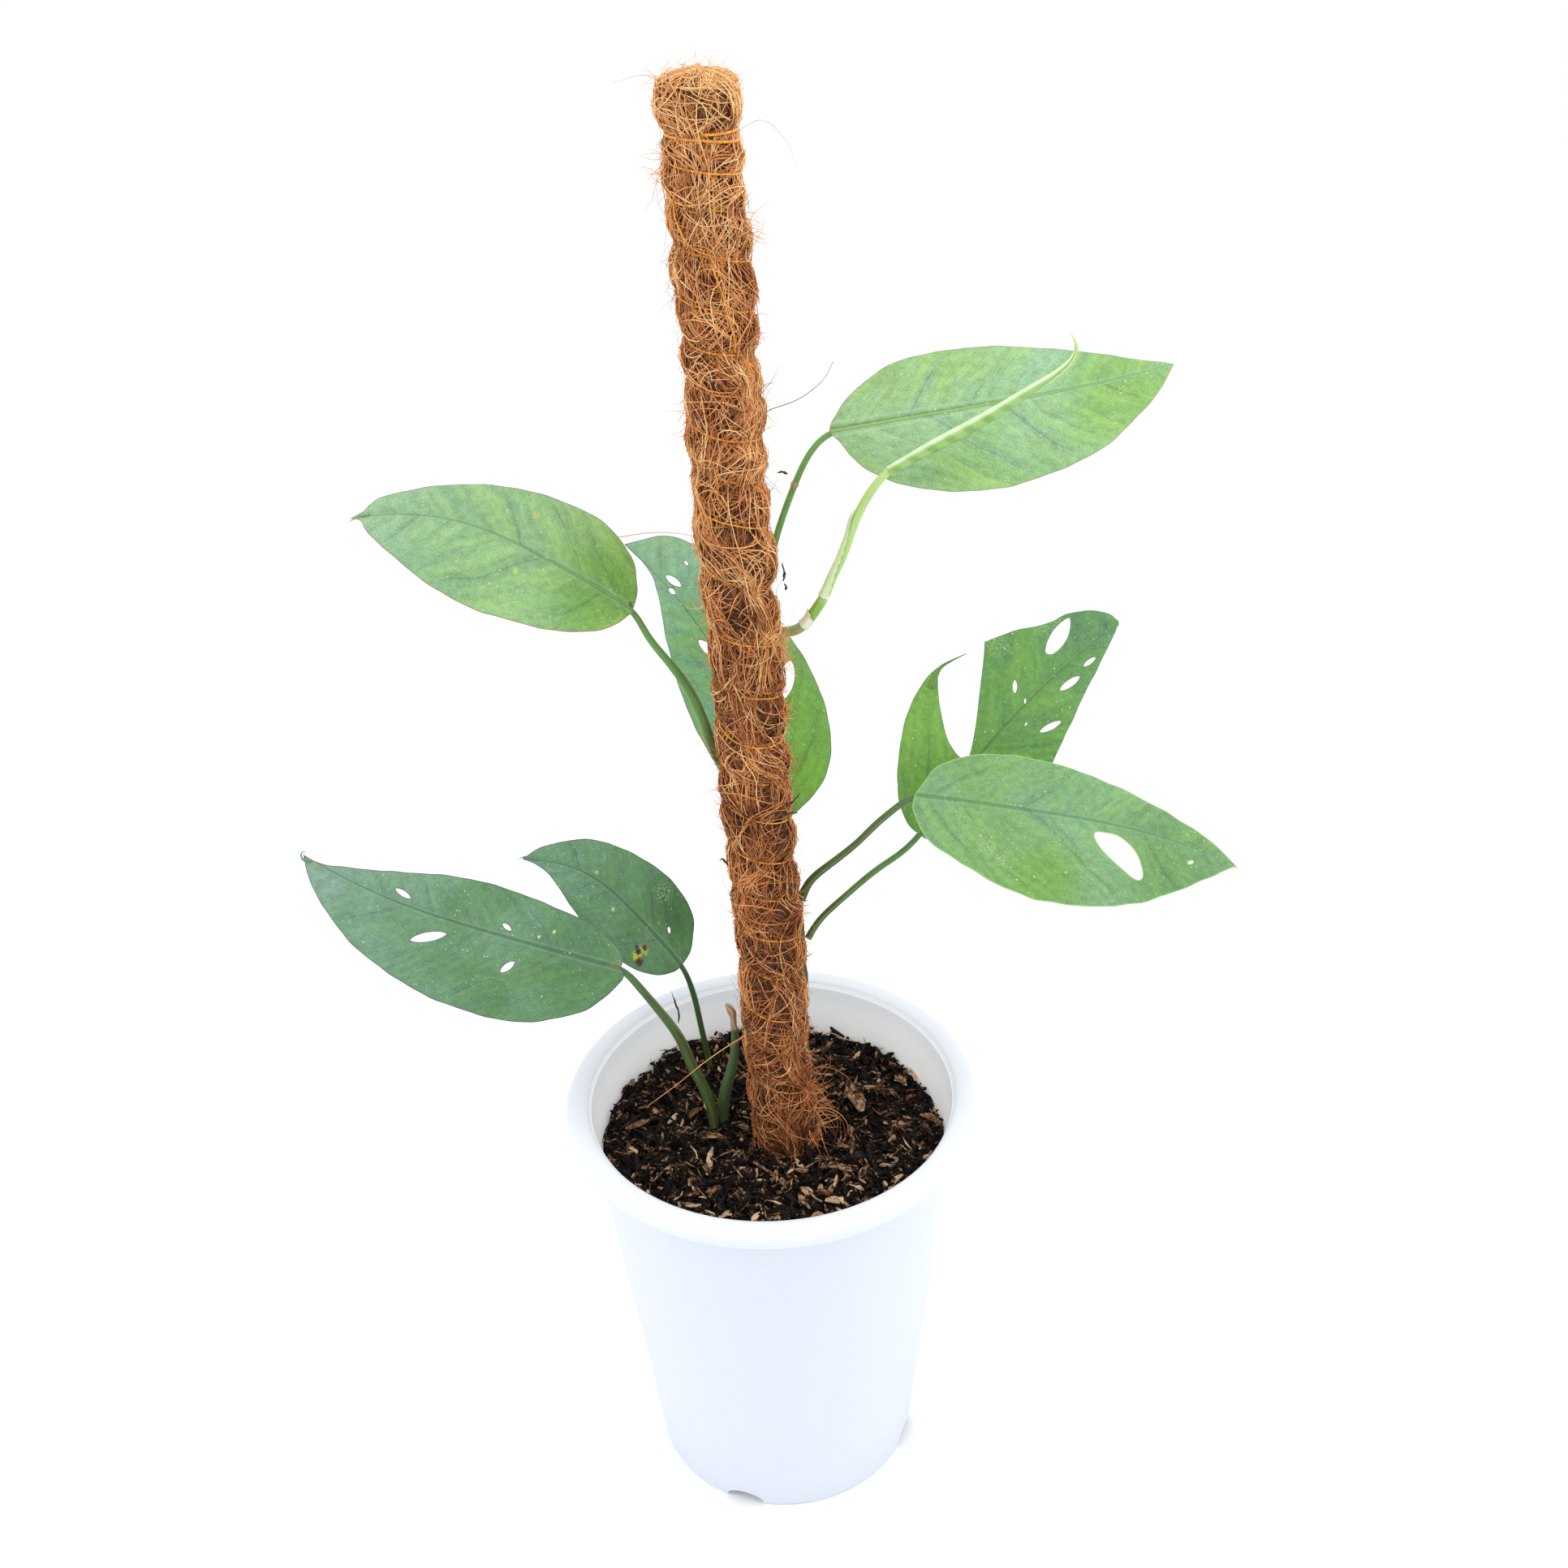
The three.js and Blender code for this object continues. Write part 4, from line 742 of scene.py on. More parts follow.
def bark_material(name, darkest, middle, palest):
    """Bark, from dark to pale with the chip's own tone, with grain along it."""
    paint = Paint(name, IOR=1.4, Specular_IOR_Level=0.22)
    wood = paint.vector("grain")
    grain = wood.stretched(0.22, 1.9, 1.9).noise(1.0, 3.0, 0.7)
    shade = paint.number("tone") + grain.between(0.25, 0.75, -0.26, 0.26)
    shade += wood.noise(0.5, 2.0).between(0.3, 0.7, -0.16, 0.12)
    dark, pale = [2.2 * c for c in darkest], [1.4 * c for c in palest]
    colour = shade.ramp([(0.0, darkest), (0.3, dark), (0.5, middle), (0.78, palest), (1.0, pale)])
    return paint.finish(colour, paint.place().noise(260.0, 2.0).between(0.35, 0.65, 0.5, 0.95), grain, 0.3)


def coir_material(name, stops):
    paint = Paint(name, IOR=1.45, Specular_IOR_Level=0.28)
    place = paint.place()
    shade = paint.number("tone") + place.noise(55.0, 2.0).between(0.3, 0.7, -0.09, 0.09)
    streak = place.noise(1400.0, 2.0)
    return paint.finish(shade.ramp(stops), streak.between(0.3, 0.7, 0.48, 0.7), streak, 0.05)


def thread_material():
    paint = Paint("orange_thread", IOR=1.5)
    wear = paint.place().noise(260.0, 2.0)
    ply = paint.vector("skin").stretched(1.6, 0.8, 0.8).noise(1.0, 1.0)
    colour = ply.between(0.35, 0.6).mix((0.6, 0.2, 0.01), (0.98, 0.42, 0.025))
    colour = colour.under((wear.between(0.5, 0.75, 0.0, 0.5), (0.6, 0.3, 0.09)))
    return paint.finish(colour, wear.between(0.3, 0.7, 0.32, 0.55), ply, 0.1)


def stem_material(name, green, shadow, brown, browning=0.6, reach=400.0):
    """A stem's skin: fine lengthwise streaks, and brown edges beside its groove up to reach millimetres."""
    paint = Paint(name, IOR=1.45)
    skin, place = paint.vector("skin"), paint.place()
    run, _, side = skin.parts()
    streak = skin.stretched(0.07, 2.6, 2.6).noise(1.0, 3.0, 0.6)
    edge = abs(side - 0.72).between(0.05, 0.28, browning, 0.0) * run.between(0.5 * reach, reach, 1.0, 0.0)
    colour = streak.between(0.3, 0.7).mix(shadow, green).under(
        (place.noise(900.0, 1.0).between(0.62, 0.72, 0.0, 0.35), [min(1.0, 1.5 * c + 0.02) for c in green]),
        (edge * place.noise(60.0, 2.0).between(0.3, 0.6, 0.3, 1.0), brown),
    )
    return paint.finish(colour, streak.between(0.2, 0.8, 0.32, 0.48), streak, 0.08)


def leaf_material(name, leaf, blade):
    """Leaf skin over the blade's own coordinates: x along it, d off the midrib, m in from the margin, and
    where each point lies in the pattern of side veins."""
    paint = Paint(name, IOR=1.45, Coat_Weight=0.1, Coat_Roughness=0.4)
    green, second = leaf["green"], leaf["second"]
    local = paint.vector("leaf")
    x, d, m = local.parts()
    start, strength, under = paint.vector("vein").parts()
    apart = (97.0 * blade.phase, 13.0 * blade.phase, 0.0)
    inputs = {0: local, 1: (1.0, 1.0, 0.0), 2: apart}
    flat = paint.put("ShaderNodeVectorMath", inputs, operation="MULTIPLY_ADD")
    away, side = abs(d), d.math("SIGN")

    def distance(px, py):
        """How far each point is from one place on the blade."""
        across = d - (py - blade.midrib(px))
        return ((x - px).math("POWER", 2.0) + across.math("POWER", 2.0)).math("SQRT")

    def drawn_out(along, across, half, *noise):
        """Noise drawn out along the side veins."""
        return paint.put("ShaderNodeCombineXYZ", {0: start * along, 1: away * across, 2: half}).noise(*noise)

    # Side veins, streaks along them, and the finest net
    start += (flat.noise(0.08, 1.0, 0.5) - 0.5) * (away.between(0.0, 8.0) * 4.5)
    near = start.folded(VEIN_STEP / 2)
    inner = m.between(0.5, 9.0) * strength
    vein = near.between(0.05, 0.9, 1.0, 0.0) * inner
    # A soft band either side of each side vein, where the skin sinks over it: painted shade, darker and bluer
    # with the painted sheen
    valley_shade = near.between(0.0, 5.5, 1.0, 0.0) * inner
    lesser = start.folded(VEIN_STEP / 6).between(0.1, 0.9, 1.0, 0.0) * inner
    streaks = drawn_out(0.3, 0.05, side * 5.0, 1.0, 2.0, 0.6)
    # bands: long soft streaks along the side veins, yellower and lighter on their high parts and darker on their
    # low ones; partly the leaf's own tint, partly painted light and shade of ridges and hollows
    bands = drawn_out(0.12, 0.035, side + 7.0 * blade.phase, 0.9, 2.0)
    mottle = drawn_out(0.2, 0.08, side + 7.0 * blade.phase, 1.0, 3.0, 0.6)
    net = paint.put("ShaderNodeTexVoronoi", {"Vector": flat, "Scale": 0.6}, feature="DISTANCE_TO_EDGE")
    grain = flat.noise(1.3, 3.0, 0.75)
    blister = flat.noise(0.3, 2.0, 0.5)

    # Greens, with a painted sheen and some painted light and shade
    # sheen: how much of the second, bluer green goes in, more towards the tip and by the side veins; partly the
    # leaf's own blue-grey tint, partly a painted sheen
    sheen = flat.noise(0.03, 2.0).between(0.3, 0.7, -0.35, 0.35) + x.between(0.0, blade.length, 0.1, 0.9)
    base = (sheen + valley_shade * 0.35).mix(green, second)
    # Soft patches: some are the leaf's own tints, others painted light and shade (painted sheen, painted shade,
    # painted glow of light through the blade)
    for px, py, radius, tint, amount in leaf.get("washes", ()):
        base = distance(px, py).between(0.25 * radius, radius, amount, 0.0).mix(base, tint)
    base = bands.between(0.4, 0.7, 0.0, 0.3).mix(base, [1.3 * green[0], 1.12 * green[1], 0.62 * green[2]])
    shade = grain.between(0.25, 0.75, 0.81, 1.24) + streaks.between(0.3, 0.7, -0.05, 0.07)
    shade += blister.between(0.3, 0.7, -0.1, 0.1)
    shade += mottle.between(0.3, 0.7, 0.06, -0.06)
    shade += bands.between(0.3, 0.7, -0.04, 0.04)
    shade -= vein * 0.14
    shade -= valley_shade * 0.12
    shade -= net.between(0.0, 0.12, 0.07, 0.0)
    shade -= lesser * 0.05
    ratio = away / x.between(0.0, blade.length, leaf.get("rib_width", 0.7), 0.26)
    lit = [1.25 * green[0], 1.2 * green[1], 0.8 * green[2]]
    base = base.shaded(shade).under(
        (away.between(0.0, 4.0, 0.3, 0.0), [0.75 * c for c in second]),
        (ratio.between(0.5, 1.4, 0.6, 0.0), [0.45 * c for c in green]),
        (ratio.between(0.15, 0.5, leaf.get("rib_light", 0.3), 0.0), lit),
        # A pale line out beside the midrib: a painted highlight on the skin's slope
        (abs(ratio - 2.3).between(0.0, 0.8, 0.3, 0.0), [1.3 * c + 0.03 for c in second]),
    )

    # Dust, scratches, spots and the margin
    dust = flat.noise(0.85, 0.0).between(0.75, 0.79) * flat.noise(0.07, 1.0).between(0.42, 0.6)
    base = (dust * 0.6).mix(base, (0.6, 0.75, 0.5))
    scratch = flat.stretched(1.0, 2.2, 1.0).noise(0.9, 2.0).between(0.55, 0.6)
    for px, py, radius in leaf.get("scuffs", ()):
        spread = distance(px, py).between(0.4 * radius, radius, 0.55, 0.0)
        base = (spread * scratch).mix(base, (0.62, 0.74, 0.42))
    ragged = grain.between(0.3, 0.7, -0.8, 0.8)
    for px, py, radius, tint in leaf.get("spots", ()):
        base = (distance(px, py) + ragged).between(0.6 * radius, radius, 1.0, 0.0).mix(base, tint)
    base = m.between(0.2, 0.62, 0.75, 0.0).mix(base, leaf["edge"])
    beneath = (vein * 0.4).mix([0.85 * c + 0.05 for c in second], [1.1 * c + 0.08 for c in second])
    relief = grain * 0.5 - vein * 0.5 + net.between(0.0, 0.3, -0.25, 0.0) + blister * 1.6
    colour = under.mix(base, beneath.shaded(shade))
    return paint.finish(colour, mottle.between(0.3, 0.7, 0.38, 0.52), relief, 0.22)


# Pot

def lathe(profile, segments):
    """A closed body of revolution about Z from (radius, height) points; the ends lie on the axis."""
    turn = TURN * np.arange(segments) / segments
    radius, height = np.array(profile[1:-1], float).T[..., None]
    rows = np.stack([radius * np.cos(turn), radius * np.sin(turn), height + 0 * turn], -1)
    return barrel(rows, [(0, 0, profile[0][1]), (0, 0, profile[-1][1])])


def prism(outline, way):
    """A closed body between an outline and its copy moved by way, to cut with."""
    amount = len(outline)
    faces = [(k, (k + 1) % amount, amount + (k + 1) % amount, amount + k) for k in range(amount)]
    faces += [tuple(range(amount)), tuple(range(amount, 2 * amount))]
    return np.vstack([outline, outline + np.array(way)]), faces


def notch_cutter(angle):
    """A prism with a rounded top that cuts one notch through the foot ring."""
    turn = np.linspace(0, math.pi, 17)
    across = np.concatenate([[-1], -np.cos(turn), [1]]) * NOTCH_WIDTH / 2
    height = np.concatenate([[-2], NOTCH_HEIGHT * np.sin(turn), [-2]])
    out, side = np.array([(math.cos(angle), math.sin(angle), 0), (-math.sin(angle), math.cos(angle), 0)])
    outline = NOTCH_REACH[0] * out + across[:, None] * side + height[:, None] * np.array([0, 0, 1])
    return prism(outline, (NOTCH_REACH[1] - NOTCH_REACH[0]) * out)


def drain_cutter(angle):
    turn = TURN * np.arange(24) / 24
    low, high = POT_FLOOR[0] - 3, POT_FLOOR[1] + 3
    x = DRAIN_RING * math.cos(angle) + DRAIN_RADIUS * np.cos(turn)
    y = DRAIN_RING * math.sin(angle) + DRAIN_RADIUS * np.sin(turn)
    return prism(np.stack([x, y, low + 0 * turn], 1), (0, 0, high - low))


def cut(piece, cutters):
    """Cuts closed shapes, given as (points, faces) in millimetres, out of a piece, and applies the cut."""
    tools = bpy.data.collections.new("cutters")
    for points, faces in cutters:
        mesh = bpy.data.meshes.new("cutter")
        mesh.from_pydata((points * MM + PLACE).tolist(), [], faces)
        shape = bmesh.new()
        shape.from_mesh(mesh)
        bmesh.ops.recalc_face_normals(shape, faces=shape.faces)
        shape.to_mesh(mesh)
        shape.free()
        tools.objects.link(bpy.data.objects.new("cutter", mesh))
    bpy.context.scene.collection.children.link(tools)
    modifier = piece.modifiers.new("cut", "BOOLEAN")
    modifier.operation = "DIFFERENCE"
    modifier.operand_type = "COLLECTION"
    modifier.collection = tools
    modifier.solver = "EXACT"
    modifier.material_mode = "INDEX"
    result = bpy.data.meshes.new_from_object(piece.evaluated_get(bpy.context.evaluated_depsgraph_get()))
    piece.modifiers.clear()
    piece.data = result
    for tool in list(tools.objects):
        bpy.data.objects.remove(tool)
    bpy.data.collections.remove(tools)


def make_pot():
    profile = [(0, POT_FLOOR[0]), *POT_OUTSIDE, *POT_RIM, *POT_INSIDE, (0, POT_FLOOR[1])]
    points, faces = lathe(profile, POT_SEGMENTS)
    # The outside is a darker copy of the white plastic, tinted blue: a painted cast of cool light
    outer = pot_material("white_plastic", (0.665, 0.695, 0.775), (0.695, 0.725, 0.8))
    # The inside is a lighter copy of the same plastic with a faint painted glow, standing in for light that
    # comes through the thin wall
    inner = pot_material("white_plastic_inside_painted_light", (0.86, 0.86, 0.87), (0.9, 0.9, 0.905), GLOW)
    pot = add_piece("nursery_pot", points, faces, outer, "pot_plastic", ["pot"], sharp=POT_SHARP)
    pot.data.materials.append(inner)
    rows = np.tile(np.repeat(np.arange(len(profile) - 3), POT_SEGMENTS), 2)
    slots = np.zeros(len(faces), np.int32)
    slots[:len(rows)] = rows >= len(POT_OUTSIDE) + len(POT_RIM) - 2
    pot.data.polygons.foreach_set("material_index", slots)
    angles = [math.radians(NOTCH_ANGLE + 90 * i) for i in range(4)]
    cut(pot, [notch_cutter(a) for a in angles] + [drain_cutter(a) for a in angles])
    pot.data.set_sharp_from_angle(angle=math.radians(POT_SHARP))


# Soil

def soil_height(x, y):
    coarse = 1.6 * np.sin(0.11 * x + 0.6) * np.cos(0.09 * y + 0.3)
    fine = 1.1 * np.sin(0.31 * x + 1.7) * np.sin(0.27 * y + 0.4)
    rise = SOIL_SLOPE[0] * x + SOIL_SLOPE[1] * y
    dip = 4 * np.exp(-((x - SOIL_DIP[0]) ** 2 + (y - SOIL_DIP[1]) ** 2) / 220)
    return SOIL_LEVEL + rise + coarse + fine - dip


def clods(x, y):
    """Small heaps and hollows on top of the broad shape of the soil."""
    return 1.3 * np.sin(0.45 * x + 1.1 * np.sin(0.23 * y)) * np.cos(0.41 * y + 1.3 * np.sin(0.19 * x + 0.7))


def make_soil():
    rings, segments = 44, 144
    turn = TURN * np.arange(segments) / segments
    radius = np.concatenate([[0.001], SOIL_REACH * np.arange(1, rings) / (rings - 1)])
    r, a = np.meshgrid(radius, turn, indexing="ij")
    x, y = r * np.cos(a), r * np.sin(a)
    flat = zip(0.2 * x.ravel(), 0.2 * y.ravel())
    rough = np.array([noise.fractal(Vector((u, v, 3.1)), 0.9, 2.1, 3) for u, v in flat])
    z = soil_height(x, y) + clods(x, y) + 1.2 * rough.reshape(x.shape) - 2.6
    foot, depth = SOIL_FOOT
    low = np.stack([foot * np.cos(turn), foot * np.sin(turn), depth + 0 * turn], 1)
    points = np.vstack([np.stack([x, y, z], -1).reshape(-1, 3), low, [(0, 0, depth)]])
    index = np.arange((rings + 1) * segments).reshape(rings + 1, segments)
    faces = [triangles(wrapped(index)[:, [0, 3, 2, 1]]), fan(len(points) - 1, index[-1], True)]
    faces = np.vstack(faces)
    material = bark_material("bark_bed", (0.005, 0.0035, 0.003), (0.02, 0.012, 0.008), (0.05, 0.03, 0.018))
    tone = np.full(len(points), 0.1)
    add_piece("soil_bed", points, faces, material, "potting_bark", ["soil"], tone=tone, grain=points)


def splinters(place, length, width, thickness, tone, lift, tilt, yaw, taper=(0.4, 1.0, 0.85, 0.3)):
    """Loose splinters of wood on the soil at place (n, 2): tapered, bowed, slightly twisted blocks."""
    amount, stations = len(length), len(taper)
    along = np.linspace(-0.5, 0.5, stations)
    corners = np.array([(-0.5, -0.5), (0.5, -0.5), (0.5, 0.5), (-0.5, 0.5)])
    local = np.zeros((amount, stations, 4, 3))
    local[..., 0] = along[None, :, None] * length[:, None, None]
    scale = np.array(taper)[None, :, None] * random.uniform(0.7, 1.3, (amount, stations, 4))
    local[..., 1] = corners[None, None, :, 0] * width[:, None, None] * scale
    local[..., 2] = corners[None, None, :, 1] * thickness[:, None, None] * scale
    local += random.normal(0, 0.08, local.shape)
    hump = (1 - 4 * along ** 2)[None, :, None] * length[:, None, None]
    local[..., 1] += random.uniform(-0.12, 0.12, (amount, 1, 1)) * hump
    local[..., 2] += random.uniform(-0.06, 0.14, (amount, 1, 1)) * hump
    pitch = random.normal(0, tilt, amount)
    roll = random.normal(0, 1.1 * tilt, amount)
    cy, sy, cp, sp, cr, sr = (f(v) for v in (yaw, pitch, roll) for f in (np.cos, np.sin))
    turn = np.stack([
        np.stack([cy * cp, cy * sp * sr - sy * cr, cy * sp * cr + sy * sr], -1),
        np.stack([sy * cp, sy * sp * sr + cy * cr, sy * sp * cr - cy * sr], -1),
        np.stack([-sp, cp * sr, cp * cr], -1),
    ], 1)
    x, y = place.T
    centre = np.stack([x, y, soil_height(x, y) + clods(x, y) + lift], -1)
    points = np.einsum("nij,nskj->nski", turn, local) + centre[:, None, None]
    index = np.arange(amount * stations * 4).reshape(amount, stations, 4)
    faces = np.vstack([wrapped(index), index[:, 0, ::-1], index[:, -1]])
    offset = random.uniform(0, 90, (amount, 1, 1, 1))
    tone = tone[:, None, None] + random.normal(0, 0.05, (amount, stations, 4))
    return points.reshape(-1, 3), faces, tone.ravel(), (local + offset).reshape(-1, 3)


def scattered(length):
    """Random places and headings on the soil for pieces of these lengths, clear of the pot's wall."""
    amount = len(length)
    angle, yaw = random.uniform(0, TURN, (2, amount))
    room = SOIL_REACH - 0.5 * length * np.abs(np.cos(yaw - angle)) - 1.0
    reach = room * np.sqrt(random.uniform(0, 1, amount))
    return np.stack([reach * np.cos(angle), reach * np.sin(angle)], 1), yaw


def chip_tones(place):
    """Most chips are nearly black, some brown, and a few tan, more of them towards the front."""
    amount = len(place)
    kind = random.uniform(0, 1, amount)
    tone = np.where(kind < 0.68, random.uniform(-0.1, 0.22, amount), random.uniform(0.32, 0.56, amount))
    pale = 0.05 + 0.09 * fade(place[:, 1], 0, -60)
    return np.where(kind > 1 - pale, random.uniform(0.64, 0.98, amount), tone)


def make_chips():
    material = bark_material("bark_chip", (0.005, 0.0032, 0.0025), (0.16, 0.066, 0.028), (0.5, 0.335, 0.2))

    def add(name, *sizes, **options):
        points, faces, tone, grain = splinters(*sizes, **options)
        add_piece(name, points, faces, material, "potting_bark", sharp=25, tone=tone, grain=grain)

    length = np.clip(random.lognormal(1.72, 0.42, CHIP_COUNT), 2.4, 13)
    width = np.clip(length * random.uniform(0.14, 0.36, CHIP_COUNT), 0.7, 2.6)
    lift = random.gamma(1.6, 0.9, CHIP_COUNT) - 2.2
    place, yaw = scattered(length)
    thickness = width * random.uniform(0.35, 0.8, CHIP_COUNT)
    add("bark_chips", place, length, width, thickness, chip_tones(place), lift, 0.45, yaw)

    length = random.uniform(6, 15, NEEDLE_COUNT)
    width = random.uniform(0.4, 0.8, NEEDLE_COUNT)
    place, yaw = scattered(length)
    by_wall = fade(np.hypot(*place.T), 66, 80)
    lift = random.gamma(1.6, 0.9, NEEDLE_COUNT) - 1.4 + 1.2 * by_wall
    # Needles near the pot's wall are darker: painted shade where the wall shades them
    tone = chip_tones(place) * (1 - 0.7 * by_wall)
    add("bark_needles", place, length, width, width, tone, lift, 0.3 + 0.35 * by_wall, yaw)

    x, y, length, width, heading = np.array(BIG_CHIPS, float).T
    thickness, tone, lift = (np.full(len(x), value) for value in (0.9, 0.56, 1.6))
    place, yaw = np.stack([x, y], 1), np.radians(heading)
    add("large_chips", place, length, width, thickness, tone, lift, 0.12, yaw)

    length = random.uniform(0.8, 2.4, CRUMB_COUNT)
    width = length * random.uniform(0.4, 0.9, CRUMB_COUNT)
    lift = random.gamma(1.6, 0.8, CRUMB_COUNT) - 2.0
    place, yaw = scattered(length)
    tone = 0.8 * chip_tones(place)
    add("bark_crumbs", place, length, width, 0.8 * width, tone, lift, 0.7, yaw, taper=(0.9, 0.6))


# Pole

def pole_axis(z):
    share = (np.asarray(z, float) - POLE_FOOT[2]) / (POLE_HEAD[2] - POLE_FOOT[2])
    return POLE_FOOT[0] + share * (POLE_HEAD[0] - POLE_FOOT[0])


def pole_point(radius, angle, z):
    radius, angle, z = np.broadcast_arrays(radius, angle, z)
    return np.stack([pole_axis(z) + radius * np.cos(angle), radius * np.sin(angle), z], -1)


def off_thread(angle, z):
    """How many millimetres a place on the sleeve is above or below the nearest turn of the thread."""
    part = np.mod((np.asarray(angle) - FRONT) / TURN, 1)[..., None]
    turns = THREAD_TURNS[:-1] + part * np.diff(THREAD_TURNS)
    return np.abs(np.asarray(z)[..., None] - turns).min(-1)


def sleeve_radius(angle, z):
    """The coir swells between the turns of the thread, which pinch it, the topmost turns most of all."""
    tight = 1.8 + 0.7 * np.sin(0.13 * z + 1) + 1.2 * fade(z, 655, 664)
    pinch = tight * np.exp(-((off_thread(angle, z) / PINCH_REACH) ** 2))
    lumps = 0.5 * np.sin(3 * angle + 0.045 * z) + 0.3 * np.sin(2 * angle - 0.11 * z)
    lumps += 0.4 * np.sin(angle + 0.19 * z + 1)
    flare = 4.2 * np.exp(-(z - SLEEVE_BOTTOM) / 13) * (0.5 + 0.5 * np.cos(angle))
    return SLEEVE_RADIUS - 0.3 - pinch + lumps + flare


def coir_point(angle, rise, proud):
    """A point of the coir. rise is the way up the sleeve and on over its flat rounded top, proud how far out."""
    angle, rise = np.broadcast_arrays(angle, rise)
    over = np.clip((rise - DOME_START) / SLEEVE_RADIUS, 0, 2.6)
    z = np.minimum(rise, DOME_START)
    inward = np.sign(np.cos(over)) * np.abs(np.cos(over)) ** DOME_SQUARE
    point = pole_point((sleeve_radius(angle, z) + proud) * inward, angle, z)
    point[..., 2] += (DOME_HEIGHT + proud) * np.abs(np.sin(over)) ** DOME_SQUARE
    return point


def make_sleeve_bed():
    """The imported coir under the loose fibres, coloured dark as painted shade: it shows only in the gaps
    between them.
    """
    turn = TURN * np.arange(BED_COLUMNS) / BED_COLUMNS
    rise, angle = np.meshgrid(np.linspace(SLEEVE_BOTTOM, SLEEVE_REACH - 0.4, BED_ROWS), turn, indexing="ij")
    rough = random.normal(0, 0.16, rise.shape)
    ends = [pole_point(0, 0, z) for z in (SLEEVE_BOTTOM, SLEEVE_TOP - 0.7)]
    points, faces = barrel(coir_point(angle, rise, -1.3 + rough), ends)
    # tone rises with rough, so the bed is darker where it lies deeper: painted shade in the gaps between fibres
    tone = 0.2 + 0.2 * np.concatenate([rough.ravel(), [0, 0]])
    dark = [(0.0, (0.04, 0.014, 0.006)), (0.5, (0.15, 0.055, 0.02)), (1.0, (0.3, 0.12, 0.05))]
    add_piece("coir_bed", points, faces, coir_material("coir_bed", dark), "coir", ["coir_sleeve"], tone=tone)


def lock_heading(angle, z):
    """The way the coir's locks lie, in radians off straight up."""
    swirl = 0.5 * np.sin(2 * angle + 0.043 * z + 0.5) + 0.45 * np.sin(angle - 0.067 * z + 2.1)
    return swirl + 0.3 * np.sin(3 * angle + 0.11 * z)


def wandering(amount, steps, loose):
    """Random smooth walks over the sleeve. Most go in locks of nearly alike fibres that follow the lie of the
    coir; loose is the share that goes its own way. Also gives each fibre's depth and tone, from -1 to 1."""
    locks = np.repeat(np.arange(amount // LOCK_SIZE + 1), LOCK_SIZE)[:amount]
    free = random.uniform(0, 1, amount) < loose

    def pick(low, high, spread, alone=None):
        """A number that the fibres of a lock nearly share; free fibres get one of their own."""
        shared = random.uniform(low, high, locks[-1] + 1)[locks] + random.normal(0, spread, amount)
        low, high = alone or (low, high)
        return np.where(free, random.uniform(low, high, amount), shared)

    angle = pick(0, TURN, 0.075)
    rise = pick(SLEEVE_BOTTOM - 4, SLEEVE_REACH, 1.8)
    own = pick(-0.55, 0.55, 0.12, (-math.pi, math.pi))
    bend = pick(-0.8, 0.8, 0.3, (-3.6, 3.6))
    ripple = pick(0, TURN, 0.4)
    step = pick(22, 58, 5, (12, 46)) / (steps - 1) * np.sign(pick(-1, 1, 0))
    depth = np.clip(pick(-1, 1, 0.2), -1, 1)
    tone = pick(-1, 1, 0.2)
    angles, rises = [], []
    for part in np.linspace(0, 1, steps):
        angles.append(angle)
        rises.append(rise)
        heading = np.where(free, 0.3, 1.0) * lock_heading(angle, rise) + own + bend * (part - 0.5)
        heading = heading + 0.22 * np.sin(ripple + 7 * part)
        angle = angle + step * np.sin(heading) / SLEEVE_RADIUS
        rise = rise + step * np.cos(heading)
    return np.stack(angles, 1), np.stack(rises, 1), depth[:, None], tone[:, None]


def fibre_tone(z):
    """Golden near the top of the pole, redder and darker lower down."""
    heights = [190, 300, 345, 390, 440, 520, 640, 690]
    return np.interp(z, heights, [0.38, 0.41, 0.38, 0.355, 0.49, 0.53, 0.58, 0.8])


def make_fibres():
    material = coir_material("coir_fibre", [
        (0.0, (0.045, 0.014, 0.005)), (0.25, (0.195, 0.064, 0.021)), (0.5, (0.55, 0.192, 0.064)),
        (0.72, (0.855, 0.39, 0.135)), (1.0, (0.98, 0.67, 0.32)),
    ])
    amount = FIBRE_COUNT // FIBRE_LAYERS

    def draw(low, high):
        return random.uniform(low, high, amount)[:, None]

    ends = np.abs(np.linspace(-1, 1, FIBRE_POINTS))[None] ** 5
    for layer in range(FIBRE_LAYERS):
        angle, rise, deep, tint = wandering(amount, FIBRE_POINTS, 0.44)
        depth = (layer + 0.5 + 0.5 * deep) / FIBRE_LAYERS
        ripple = 0.22 * np.sin(np.linspace(0, 8, FIBRE_POINTS) + draw(0, TURN))
        proud = -1.3 + 2.2 * depth + ripple
        near = fade(off_thread(angle, np.minimum(rise, DOME_START)), 2.6, 0.8) * (draw(0, 1) < 0.93)
        proud = proud + near * (np.minimum(proud, -0.3) - proud)
        proud += ends * random.choice([0, 0, 0.4, 1.4], amount)[:, None]
        rise = np.maximum(rise, SLEEVE_BOTTOM - 3 + draw(0, 5))
        thick = draw(0.13, 0.24) + 0.04 * depth
        points, faces = tubes(coir_point(angle, rise, proud), thick * (1 - 0.5 * ends), 3)
        bright = 0.3 * (draw(0, 1) > 0.88)
        # Fibres in deeper layers are darker: painted shade from the layers over them
        tone = fibre_tone(rise) + 0.48 * (depth - 0.6) + 0.12 * tint
        tone = tone + random.normal(0, 0.14, (amount, 1)) + bright
        add_piece(f"coir_fibres_{layer}", points, faces, material, "coir", tone=np.repeat(tone, 3))
    return material


